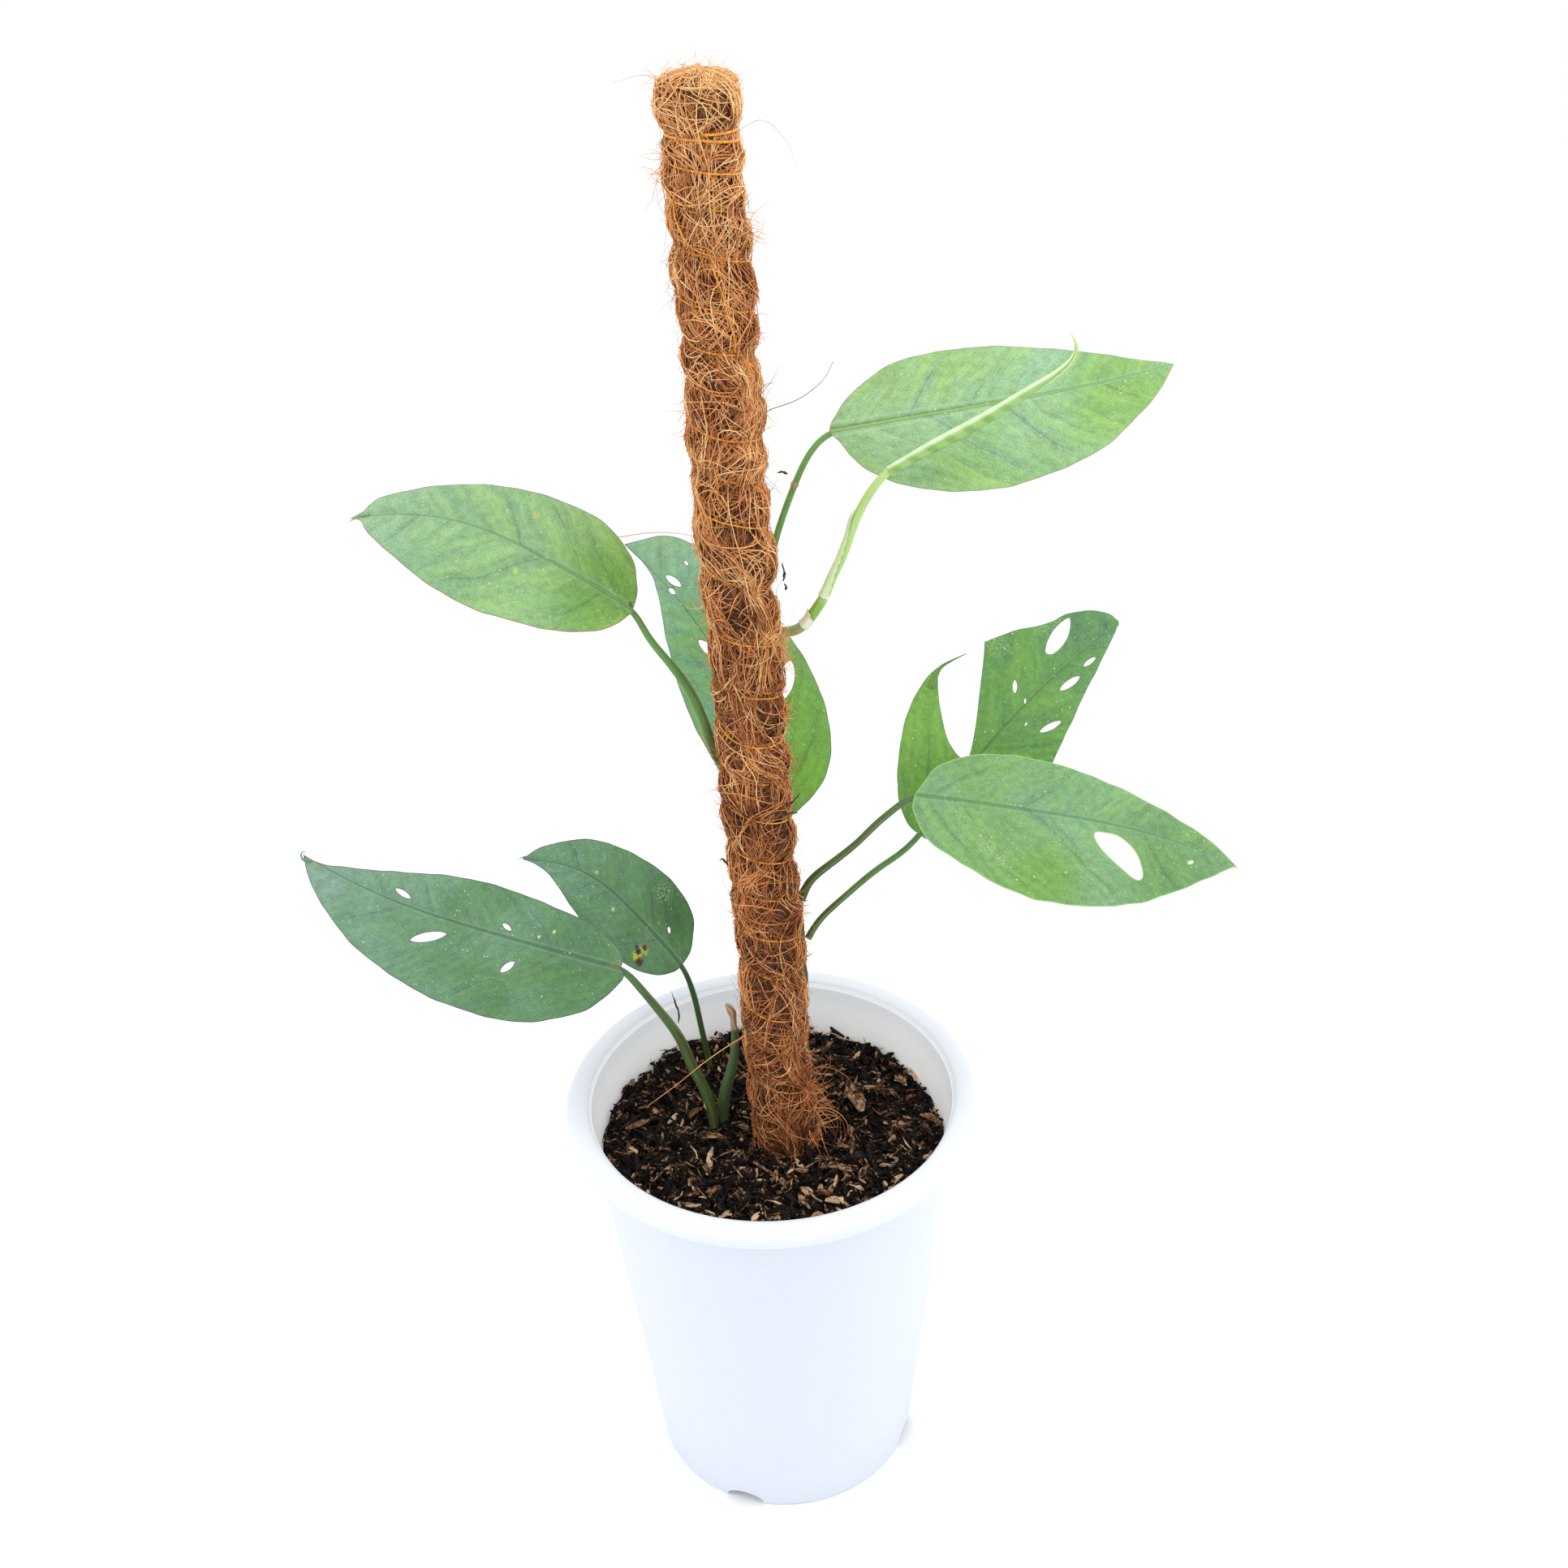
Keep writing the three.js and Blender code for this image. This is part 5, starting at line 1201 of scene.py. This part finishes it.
def make_hairs(material):
    """Fine hairs that stand away from the coir, a few long loose fibres, and dark scraps of husk."""
    part = np.linspace(0, 1, 6)
    tuft_angle, tuft_height, count, tuft_length = np.array(TUFTS, float).T
    count = count.astype(int)
    tufted, extra = slice(HAIR_COUNT, None), count.sum()
    amount = HAIR_COUNT + extra
    length = random.gamma(1.8, 3.2, amount) + 2.5
    angle = random.uniform(0, TURN, amount)
    rise = random.uniform(SLEEVE_BOTTOM + 4, SLEEVE_TOP + 4, amount)
    angle[tufted] = np.radians(tuft_angle).repeat(count) + random.normal(0, 0.3, extra)
    rise[tufted] = tuft_height.repeat(count) + random.normal(0, 5, extra)
    length[tufted] = tuft_length.repeat(count) * random.uniform(0.5, 1.3, extra)
    spread = random.uniform(0.3, 1, amount)
    spread[tufted] = random.uniform(0.9, 1.5, extra)
    length, angle, rise, spread = (v[:, None] for v in (length, angle, rise, spread))
    drift = random.normal(0, 0.9, (3, amount, 1))
    out = 0.2 + length * (0.35 * part + 0.3 * part ** 2) * spread
    sideways = length * part * (0.5 * drift[0] + 0.5 * drift[1] * part) * 0.6
    upward = length * part * (0.6 + 0.5 * drift[2] * part) * random.choice([-1, 1], amount)[:, None]
    height = np.minimum(rise + upward, SLEEVE_TOP + 12)
    paths = coir_point(angle + sideways / SLEEVE_RADIUS, height, np.minimum(out, 12))
    radii = random.uniform(0.09, 0.17, (amount, 1)) * (1 - 0.65 * part)
    radii[tufted] *= 1.4
    points, faces = tubes(paths, radii, 3)
    tone = fibre_tone(rise) + random.normal(0, 0.14, (amount, 1)) + 0 * part
    tone[tufted] += 0.18
    add_piece("coir_hairs", points, faces, material, "coir", tone=np.repeat(tone, 3))

    steps, sides = 24, 5
    paths = np.stack([smooth_route(route, steps)[0] for _, _, route in LOOSE_FIBRES])
    radii = np.array([radius * np.linspace(1, 0.5, steps) for radius, _, _ in LOOSE_FIBRES])
    points, faces = tubes(paths, radii, sides)
    tone = np.repeat([tone for _, tone, _ in LOOSE_FIBRES], steps * sides)
    add_piece("loose_fibres", points, faces, material, "coir", tone=tone)

    def flaky(run, turn):
        return 1 + 0.35 * np.sin(TURN * 2 * turn + 11 * run) + 0.25 * np.sin(TURN * turn + 23 * run)

    stops = [(0.0, (0.02, 0.012, 0.008)), (0.6, (0.09, 0.045, 0.022)), (1.0, (0.2, 0.1, 0.05))]
    scraps = [sweep(route, [0.15, 0.5, 0.4, 0.1][:len(route)], 8, 20, flaky) for route in SCRAPS]
    points, faces, skin = joined(scraps)
    tone = 0.4 + 0.2 * np.sin(2 * skin[:, 0])
    add_piece("husk_scraps", points, faces, coir_material("dry_scrap", stops), "coir", tone=tone)


def make_thread():
    turns = np.arange((len(THREAD_TURNS) - 1) * THREAD_STEPS + 1) / THREAD_STEPS
    angle = FRONT + TURN * turns
    z = np.interp(turns, np.arange(len(THREAD_TURNS)), THREAD_TURNS)
    first = fade(turns, 1.7, 1.2)
    proud = 0.05 + 0.5 * np.sin(0.9 * angle + 0.6) * np.sin(0.37 * angle + 1)
    proud = proud + 0.65 * first - 0.35 * fade(z, 320, 250)
    path = pole_point(sleeve_radius(angle, z) + proud, angle, z)
    parts = [sweep_line(path, THREAD_RADIUS * (1 + 0.6 * first))]
    for stray in THREAD_STRAYS:
        angle, z, _ = smooth_route([(math.radians(a), z, 0) for a, z in stray], 30)[0].T
        path = pole_point(sleeve_radius(angle, z) + 0.75, angle, z)
        parts.append(sweep_line(path, np.full(30, 0.8 * THREAD_RADIUS)))
    points, faces, skin = joined(parts)
    add_piece("wound_thread", points, faces, thread_material(), "thread", ["binding_thread"], skin=skin)


def sweep_line(path, radius, sides=7):
    """A thread along a line that is already smooth."""
    points, faces = tubes(path[None], radius[None], sides)
    run = np.repeat(np.concatenate([[0], np.cumsum(np.linalg.norm(np.diff(path, axis=0), axis=1))]), sides)
    turn = np.tile(TURN * np.arange(sides) / sides, len(path))
    return points, faces, np.stack([run, np.cos(turn), np.sin(turn)], 1)


# Stems

def stem_piece(name, slot, material, stands_for, route, girth, **options):
    points, faces, skin = sweep(route, girth, **options)
    add_piece(name, points, faces, material, slot, stands_for, skin=skin)


def grooved(run, turn):
    """A petiole's section: round, with a shallow channel along its upper side."""
    away = np.abs(np.mod(turn - 0.25 + 0.5, 1) - 0.5)
    return 1 - 0.2 * np.exp(-((away / 0.07) ** 2)) * (1 - run * 0.6)


def make_vine():
    heights, angles = np.array(VINE_ROUTE, float).T
    low, high = heights[[0, -1]]

    def shape(run, turn):
        nearest = min(abs(node - low - run * (high - low)) for node in VINE_NODES)
        ring = 0.16 * max(0.0, 1 - nearest / 8) + 0.07 * math.exp(-((nearest - 2.4) / 0.7) ** 2)
        return (1 + ring - 0.2 * run ** 6) * (1 + 0.025 * np.sin(TURN * 5 * turn + 3 * run))

    route = pole_point(VINE_OFFSET, np.radians(angles), heights)
    green = stem_material("vine_skin", (0.13, 0.27, 0.07), (0.08, 0.17, 0.05), (0.2, 0.1, 0.04), 0.9)
    girth = [VINE_RADIUS] * len(route)
    stem_piece("climbing_stem", "stem", green, ["vine_stem"], route, girth, sides=24, steps=220, shape=shape)
    brown = stem_material("root_skin", (0.22, 0.12, 0.05), (0.12, 0.06, 0.03), (0.3, 0.18, 0.08))
    roots = []
    for node in ROOT_HEIGHTS:
        angle = math.radians(np.interp(node, heights, angles))
        for side in (-1, 1):
            bend = side * random.uniform(0.35, 0.6)
            drop = random.uniform(-10, 2)
            route = pole_point(
                [VINE_OFFSET - 1, 18.2, 16.9, 16.2],
                angle + np.array([0.08 * side, 0.5 * bend, bend, 1.5 * bend]),
                node + drop * np.array([0, 0.3, 0.7, 1]),
            )
            roots.append(sweep(route, [0.8, 0.7, 0.6, 0.3], sides=8, steps=24))
    points, faces, skin = joined(roots)
    add_piece("aerial_roots", points, faces, brown, "dry_stem", skin=skin)


def make_old_stem():
    green = stem_material("old_stem_skin", (0.055, 0.15, 0.05), (0.03, 0.09, 0.03), (0.2, 0.11, 0.06))
    stem_piece("old_cut_stem", "stem", green, ["old_stem"], OLD_ROUTE, OLD_GIRTH, sides=20, steps=50)

    def ragged(run, turn):
        return 1 + 0.18 * np.sin(TURN * 3 * turn + 9 * run) + 0.1 * np.sin(TURN * 7 * turn)

    tan = stem_material("dry_stem_skin", (0.62, 0.46, 0.3), (0.4, 0.26, 0.15), (0.25, 0.14, 0.07), 0.8)
    stem_piece("dry_stem_end", "dry_stem", tan, ["old_stem_dry_end"], DRY_ROUTE, DRY_GIRTH,
               sides=18, steps=30, shape=ragged)


# Leaves

class Blade:
    """The curved surface of one leaf: at() turns blade coordinates into the pot's frame."""

    def __init__(self, base, tip, faces, arch, bend, sway, phase, **_):
        self.base = np.array(base, float)
        reach = np.array(tip, float) - self.base
        self.length = np.linalg.norm(reach)
        self.forward = reach / self.length
        azimuth, elevation = (math.radians(a) for a in faces)
        level = math.cos(elevation)
        up = np.array([math.sin(azimuth) * level, -math.cos(azimuth) * level, math.sin(elevation)])
        self.up = unit(up - self.forward * np.dot(up, self.forward))
        self.side = np.cross(self.up, self.forward)
        self.arch, self.bend, self.sway, self.phase = arch, bend, sway, phase

    def midrib(self, x):
        share = np.clip(x / self.length, 0, 1)
        return self.bend * 4 * share * (1 - share) + self.sway * np.sin(TURN * share)

    def lift(self, x, y):
        share = x / self.length
        across = y - self.midrib(x)
        outward = (across / HALF_WIDTH) ** 2
        wave = np.sin(5 * math.pi * share + 0.8 * np.sign(across) + self.phase)
        arched = self.arch * 4 * share * (1 - share)
        return arched + MIDRIB_FOLD * np.abs(across) + outward * (MARGIN_WAVE * wave - MARGIN_CURL)

    def at(self, x, y, z=0.0):
        x, y, z = (np.asarray(v, float)[..., None] for v in (x, y, z))
        return self.base + x * self.forward + y * self.side + (self.lift(x, y) + z) * self.up


def hole_outline(x, y, length, width, angle, count=28):
    """A hole's outline: an oval with pointed ends."""
    way = TURN * np.arange(count) / count
    u = length / 2 * np.cos(way)
    v = width / 2 * np.sin(way) * np.abs(np.sin(way)) ** 0.35
    c, s = math.cos(math.radians(angle)), math.sin(math.radians(angle))
    return np.stack([x + u * c - v * s, y + u * s + v * c], 1)


def closed_curve(points, steps=6):
    """A closed spline through points."""
    wide = [points[-1], *points, *points[:2]]
    spans = 1 + np.arange(steps * len(points)) / steps
    return edge_curve(wide, spans / (len(wide) - 1))


def inside(points, loop):
    """Which points lie inside a closed outline."""
    result = np.zeros(len(points), bool)
    for (x1, y1), (x2, y2) in zip(loop, np.roll(loop, -1, 0)):
        if y1 != y2:
            crosses = (y1 > points[:, 1]) != (y2 > points[:, 1])
            result ^= crosses & (points[:, 0] < (x2 - x1) * (points[:, 1] - y1) / (y2 - y1) + x1)
    return result


def distance_to(points, loops):
    """Each point's distance to the nearest outline."""
    nearest = np.full(len(points), 1e9)
    for loop in loops:
        for start, end in zip(loop, np.roll(loop, -1, 0)):
            way = end - start
            share = np.clip(((points - start) @ way) / max(way @ way, 1e-12), 0, 1)
            nearest = np.minimum(nearest, np.linalg.norm(points - start - share[:, None] * way, axis=1))
    return nearest


def blade_outline(leaf, blade):
    """The blade's closed outline with its fine, uneven margin."""
    ends = ((0, 0), (blade.length, 0))
    sides = []
    for points, out in ((leaf["left"], 1), (leaf["right"], -1)):
        shares = np.linspace(0, 1, 150)
        curve = edge_curve([ends[0], *points, ends[1]], shares)
        run = np.concatenate([[0], np.cumsum(np.linalg.norm(np.diff(curve, axis=0), axis=1))])
        way = unit(np.gradient(curve, axis=0))
        normal = np.stack([-way[:, 1], way[:, 0]], 1) * out
        ripple = 0.12 * np.sin(run / 3.7 + blade.phase) + 0.08 * np.sin(run / 1.9 + 2 * blade.phase)
        ripple += 0.2 * np.sin(run / 7.3 + blade.phase) + leaf.get("scallops", 0) * np.sin(run / 2.7 + out)
        ripple = ripple * fade(run, 0, 10) * fade(run[-1] - run, 0, 14)
        sides.append(curve + normal * ripple[:, None])
    return np.vstack([sides[0], sides[1][-2:0:-1]])


def blade_mesh(leaf, blade):
    """The blade less its openings, filled with fine triangles: flat points, triangles and all outlines."""
    outline = blade_outline(leaf, blade)
    holes = [hole_outline(*hole) for hole in leaf["holes"]]
    holes += [closed_curve(gap) for gap in leaf.get("gaps", ())]
    loops = [outline, *holes]

    def on_blade(points):
        result = inside(points, outline)
        for hole in holes:
            result &= ~inside(points, hole)
        return result

    low, high = outline.min(0), outline.max(0)
    gx, gy = np.meshgrid(np.arange(low[0], high[0], GRID), np.arange(low[1], high[1], GRID * 0.87))
    gx[1::2] += GRID / 2
    grid = np.stack([gx.ravel(), gy.ravel()], 1)
    grid = grid[np.abs(grid[:, 1] - blade.midrib(grid[:, 0])) > 2.1]
    x = np.arange(1.0, blade.length - 1, 1.1)
    for offset in (0, 0.6, -0.6, 1.4, -1.4):
        grid = np.vstack([grid, np.stack([x, blade.midrib(x) + offset], 1)])
    grid = grid[on_blade(grid) & (distance_to(grid, loops) > 0.45)]
    edges = []
    start = 0
    for loop in loops:
        edges += [(start + k, start + (k + 1) % len(loop)) for k in range(len(loop))]
        start += len(loop)
    points = [Vector(p) for p in np.vstack([*loops, grid])]
    flat, _, faces, _, _, _ = delaunay_2d_cdt(points, edges, [], 0, 1e-4, True)
    flat, faces = np.array([tuple(p) for p in flat]), np.array(faces)
    faces = faces[on_blade(flat[faces].mean(1))]
    used, faces = np.unique(faces, return_inverse=True)
    flat, faces = flat[used], faces.reshape(-1, 3)
    a, b, c = flat[faces[:, 0]], flat[faces[:, 1]], flat[faces[:, 2]]
    turned = (b[:, 0] - a[:, 0]) * (c[:, 1] - a[:, 1]) - (b[:, 1] - a[:, 1]) * (c[:, 0] - a[:, 0]) < 0
    faces[turned] = faces[turned][:, ::-1]
    return flat, faces, loops


def vein_pattern(blade, x, d):
    """How far along the pattern of side veins each point lies, and how strong its nearest vein is."""
    away, side = np.abs(d), np.sign(d)
    sway = 3.5 * np.sin(0.07 * x + 2.1 * blade.phase + side) + 1.2 * np.sin(0.19 * x + blade.phase)
    start = x - VEIN_LEAN * away - VEIN_BEND * away ** 2 + sway + 0.25 * VEIN_STEP * side
    strength = 0.55 + 0.45 * np.sin(2.4 * np.round(start / VEIN_STEP) + 3.1 * side + 1.7 * blade.phase)
    return start, strength


def vein_relief(blade, x, d, m, start, strength):
    """How far the upper skin sinks over the midrib and the side veins."""
    near = np.abs(np.mod(start / VEIN_STEP + 0.5, 1) - 0.5) * VEIN_STEP
    side_vein = 0.22 * strength * np.exp(-((near / 2.2) ** 2)) * fade(m, 0.5, 8)
    rib = 0.42 * np.exp(-((d / 0.9) ** 2)) * (1 - 0.6 * x / blade.length)
    quilt = 0.07 * np.sin(0.8 * start + 0.1 * d) * fade(m, 0.5, 6)
    return side_vein + rib - quilt


def make_leaf(name, leaf, phase):
    blade = Blade(phase=phase, **leaf)
    flat, faces, loops = blade_mesh(leaf, blade)
    x, y = flat.T
    d = y - blade.midrib(x)
    m = distance_to(flat, loops)
    start, strength = vein_pattern(blade, x, d)
    relief = vein_relief(blade, x, d, m, start, strength)
    half = THICKNESS / 2 * (0.35 + 0.65 * fade(m, 0, 1.0))
    share = np.clip(x / blade.length, 0, 1)
    stalk = leaf["girth"][-1]
    rib = np.maximum(0, 1 - (d / (0.4 + 1.3 * (1 - share))) ** 2) ** 0.5 * 1.5 * stalk * (1 - share) ** 0.8
    upper = blade.at(x, y, half - relief)
    lower = blade.at(x, y, -half - 0.7 * relief * (1 - fade(np.abs(d), 0, 2)) - rib * fade(m, 0, 1.5))
    count = len(flat)
    pairs = np.vstack([faces[:, [0, 1]], faces[:, [1, 2]], faces[:, [2, 0]]])
    _, first, uses = np.unique(np.sort(pairs, 1), axis=0, return_index=True, return_counts=True)
    a, b = pairs[first[uses == 1]].T
    rim = triangles(np.stack([a, a + count, b + count, b], 1))
    local = np.stack([x, d, m], 1)
    veins = [np.stack([start, strength, np.full(count, under)], 1) for under in (0.0, 1.0)]
    slot = "leaf_blue_green" if name.startswith("leaf_low") else "leaf"
    add_piece(
        name + "_fine", np.vstack([upper, lower]), np.vstack([faces, faces[:, ::-1] + count, rim]),
        leaf_material(name + "_skin", leaf, blade), slot, [name + "_blade"], sharp=60,
        leaf=np.vstack([local, local]), vein=np.vstack(veins))

    def trim(part, kind, colours, route, girth, stands_for=(), marks=(), **options):
        skin = stem_material(f"{name}_{part}_skin", *colours, *marks)
        stem_piece(f"{name}_{part}", kind, skin, stands_for, route, girth, **options)

    route = [*leaf["petiole"], blade.at(-0.8, 0, -1.3), blade.at(3, blade.midrib(3), -1.2)]
    girth = [*leaf["girth"], 0.8 * stalk]
    colours = [1.15 * c for c in leaf["stalk"]], [0.7 * c for c in leaf["stalk"]], (0.13, 0.05, 0.02)
    trim("stalk", "stem", colours, route, girth, [name + "_petiole"], (0.9, leaf.get("browning", 60)),
         sides=18, steps=100, shape=grooved, soften=5.0)
    for part, colour, thick in (("tip_hook", leaf["second"], 0.8), ("lobe_tip", leaf["green"], 1.9)):
        if part in leaf:
            route = [blade.at(*point) for point in leaf[part]]
            girth = thick * np.linspace(1.0, 0.15, len(route)) ** 1.3
            colours = colour, [0.7 * c for c in colour], leaf["edge"]
            trim(part, slot, colours, route, girth, sides=10, steps=36, soften=1.0)
    if "scar" in leaf:
        way = unit(np.array(leaf["petiole"][-1]) - leaf["scar"])
        route = [leaf["scar"] + step * way for step in (-1.6, -0.6, 0.5, 1.3)]
        colours = (0.5, 0.42, 0.2), (0.3, 0.2, 0.09), (0.2, 0.1, 0.04)
        trim("scar", "stem", colours, route, [1.36, 1.72, 1.8, 1.36], sides=18, steps=16)


# Growing tip

def rolled_material():
    """Pale young leaf: painted light above and painted shade on its lower side, with dark veins that wind round
    it and a line where its edge lies.
    """
    paint = Paint("rolled_leaf_skin", IOR=1.45, Coat_Weight=0.15, Coat_Roughness=0.3)
    run, seam, below = paint.vector("roll").parts()
    streak = paint.vector("skin").stretched(0.06, 2.2, 2.2).noise(1.0, 3.0, 0.6)
    band = (run * 0.13 - seam).folded(0.5).between(0.1, 0.34, 1.0, 0.0)
    # The lower side of the roll is painted darker green, with stronger veins, and its top pale: painted shade
    # and painted light
    fades = run.between(40.0, 75.0, 0.55, 0.1) * below.between(-0.5, 0.3, 0.3, 1.0)
    colour = below.between(-0.7, 0.1).mix((0.72, 0.9, 0.58), (0.28, 0.48, 0.13)).under(
        (streak.between(0.35, 0.65, 0.0, 0.4), (0.42, 0.63, 0.27)),
        (band * fades, (0.13, 0.27, 0.03)),
        (seam.between(0.05, 0.2, 0.55, 0.0), (0.66, 0.8, 0.45)),
        (seam.between(0.9, 0.985, 0.0, 0.7), (0.13, 0.27, 0.06)),
        (run.between(84.0, 94.0, 0.0, 0.85), (0.6, 0.68, 0.22)),
    )
    return paint.finish(colour, streak.between(0.2, 0.8, 0.3, 0.45), streak, 0.08)


def stalk_material():
    """The young stalk: its short old joint is yellower than the rest."""
    paint = Paint("new_stalk_skin", IOR=1.45)
    skin = paint.vector("skin")
    streak = skin.stretched(0.07, 2.6, 2.6).noise(1.0, 3.0, 0.6)
    colour = (skin.parts()[0] / 95.0).ramp([
        (0.0, (0.34, 0.42, 0.2)), (0.1, (0.38, 0.46, 0.22)), (0.13, (0.24, 0.4, 0.05)),
        (0.26, (0.27, 0.45, 0.07)), (0.28, (0.38, 0.57, 0.16)), (1.0, (0.46, 0.66, 0.24)),
    ])
    colour = colour.shaded(streak.between(0.3, 0.7, 0.9, 1.1))
    return paint.finish(colour, streak.between(0.2, 0.8, 0.3, 0.45), streak, 0.06)


def make_sheath(name, span, spreads, flare, material, stands_for=()):
    """A papery shell round part of the young stalk. spreads are half its width in degrees, foot to top."""
    line, place, run = smooth_route(STALK_ROUTE, 240, 3.0)
    girth = np.interp(place, np.arange(len(STALK_GIRTH)), STALK_GIRTH)
    _, normal, side = frames(line)
    rows = slice(*np.searchsorted(line[:, 2], span))
    part = np.linspace(0, 1, len(line[rows]))[:, None]
    across = np.linspace(-1, 1, 25)
    middle = np.arctan2(side[rows] @ SHEATH_SIDE, normal[rows] @ SHEATH_SIDE)[:, None]
    spread = np.radians(np.interp(part, np.linspace(0, 1, len(spreads)), spreads))
    angle = middle + spread * (1 + 0.07 * np.sin(60 * part)) * across
    out = np.cos(angle)[..., None] * normal[rows, None] + np.sin(angle)[..., None] * side[rows, None]
    away = 0.26 + 0.5 * np.abs(across) ** 3 * np.sin(9 * part) ** 2
    away = away + flare * fade(part, 0.6, 1) + 0.3 * fade(part, 0.06, 0)
    points, faces = sheet(line[rows, None] + (girth[rows, None] + away)[..., None] * out, 0.2, out)
    along = np.broadcast_to(run[rows, None], angle.shape)
    skin = np.stack([along, np.cos(angle), np.sin(angle)], -1).reshape(-1, 3)
    add_piece(name, points, faces, material, "sheath", stands_for, skin=np.vstack([skin, skin]))


def make_new_leaf():
    stem_piece("new_stalk", "new_growth", stalk_material(), ["new_leaf_stalk"], STALK_ROUTE, STALK_GIRTH,
               sides=18, steps=100, shape=grooved, soften=3.0)

    def wound(run, turn):
        return np.mod(turn + ROLL_TURNS * run + 0.1, 1)

    def rolled(run, turn):
        place = wound(run, turn)
        lap = 0.16 * place * fade(place, 1.0, 0.94)
        return 0.9 + lap + 0.18 * fade(run, 0.1, 0.0) * np.sin(math.pi * place)

    sides, steps = 36, 150
    points, faces, skin = sweep(ROLL_ROUTE, ROLL_GIRTH, sides, steps, rolled, 3.0)
    seam = wound(np.arange(steps)[:, None] / (steps - 1), np.arange(sides) / sides).ravel()
    rings = points[:-2].reshape(steps, sides, 3)
    # How far each point faces the roll's shaded side, where its colour is painted shade
    below = unit(rings - rings.mean(1, keepdims=True)) @ unit(ROLL_SHADED_SIDE)
    roll = np.vstack([np.stack([skin[:-2, 0], seam, below.ravel()], 1), [0, 0.5, 0], [skin[-1, 0], 0.5, 0]])
    material = rolled_material()
    add_piece("rolled_leaf", points, faces, material, "new_growth", ["new_leaf_roll"], skin=skin, roll=roll)
    papery = stem_material("sheath_skin", (0.72, 0.84, 0.52), (0.58, 0.73, 0.38), (0.5, 0.5, 0.25), 0.15)
    make_sheath("papery_sheath", SHEATH_SPAN, SHEATH_SPREAD, 0.1, papery, ["new_leaf_sheath"])
    dry = stem_material("collar_skin", (0.9, 0.93, 0.74), (0.78, 0.82, 0.56), (0.42, 0.24, 0.1), 0.12)
    make_sheath("papery_collar", COLLAR_SPAN, COLLAR_SPREAD, 0.6, dry)


# Stage

def make_stake_finish():
    paint = Paint("stake_wood", Roughness=0.75)
    grain = paint.place().stretched(900.0, 900.0, 30.0).noise(1.0, 3.0, 0.6)
    colour = grain.mix((0.3, 0.18, 0.08), (0.5, 0.33, 0.17))
    mesh = frame["nodes"]["pole_core"].data
    mesh.materials.clear()
    mesh.materials.append(paint.finish(colour, grain.between(0.2, 0.8, 0.65, 0.85), grain, 0.2))


def make_stage():
    paint = Paint("pale_floor", Roughness=0.85)
    colour = paint.place().noise(2.0, 2.0).mix((0.945, 0.96, 0.975), (0.955, 0.97, 0.985))
    mesh = bpy.data.meshes.new("floor")
    corners = [(x * FLOOR_REACH, y * FLOOR_REACH, 0) for x, y in ((-1, -1), (1, -1), (1, 1), (-1, 1))]
    mesh.from_pydata(corners, [], [(0, 1, 2, 3)])
    mesh.materials.append(paint.finish(colour))
    floor = bpy.data.objects.new("floor", mesh)
    bpy.context.scene.collection.objects.link(floor)

    world = bpy.data.worlds.new("studio")
    world.use_nodes = True
    background = world.node_tree.nodes["Background"].inputs
    background["Color"].default_value = (0.97, 0.985, 1.0, 1.0)
    background["Strength"].default_value = 1.08
    bpy.context.scene.world = world
    bpy.context.scene.view_settings.view_transform = "Standard"
    for name, place, size, power in LIGHTS:
        light = bpy.data.lights.new(name, "AREA")
        light.size = size
        light.energy = power
        lamp = bpy.data.objects.new(name, light)
        lamp.location = place
        lamp.rotation_euler = (Vector(LIGHT_AIM) - Vector(place)).to_track_quat("-Z", "Y").to_euler()
        bpy.context.scene.collection.objects.link(lamp)


def make_camera():
    pitch, yaw, roll = (math.radians(a) for a in (CAMERA_PITCH, CAMERA_YAW, CAMERA_ROLL))
    forward = Vector((math.sin(yaw) * math.cos(pitch), math.cos(yaw) * math.cos(pitch), -math.sin(pitch)))
    level = Vector((math.cos(yaw), -math.sin(yaw), 0))
    above = level.cross(forward)
    right = math.cos(roll) * level + math.sin(roll) * above
    up = -math.sin(roll) * level + math.cos(roll) * above
    camera = bpy.data.objects.new("camera", bpy.data.cameras.new("camera"))
    camera.data.sensor_width = 36
    camera.data.lens = CAMERA_FOCAL
    camera.matrix_world = Matrix((right, up, -forward)).transposed().to_4x4()
    camera.location = Vector(np.array(CAMERA_PLACE) * MM + PLACE)
    bpy.context.scene.collection.objects.link(camera)
    bpy.context.scene.camera = camera


make_camera()
make_stage()
make_stake_finish()
make_pot()
make_soil()
make_chips()
make_sleeve_bed()
make_hairs(make_fibres())
make_thread()
make_vine()
make_old_stem()
for leaf_phase, (leaf_name, leaf_data) in enumerate(LEAVES.items()):
    make_leaf(leaf_name, leaf_data, leaf_phase)
make_new_leaf()
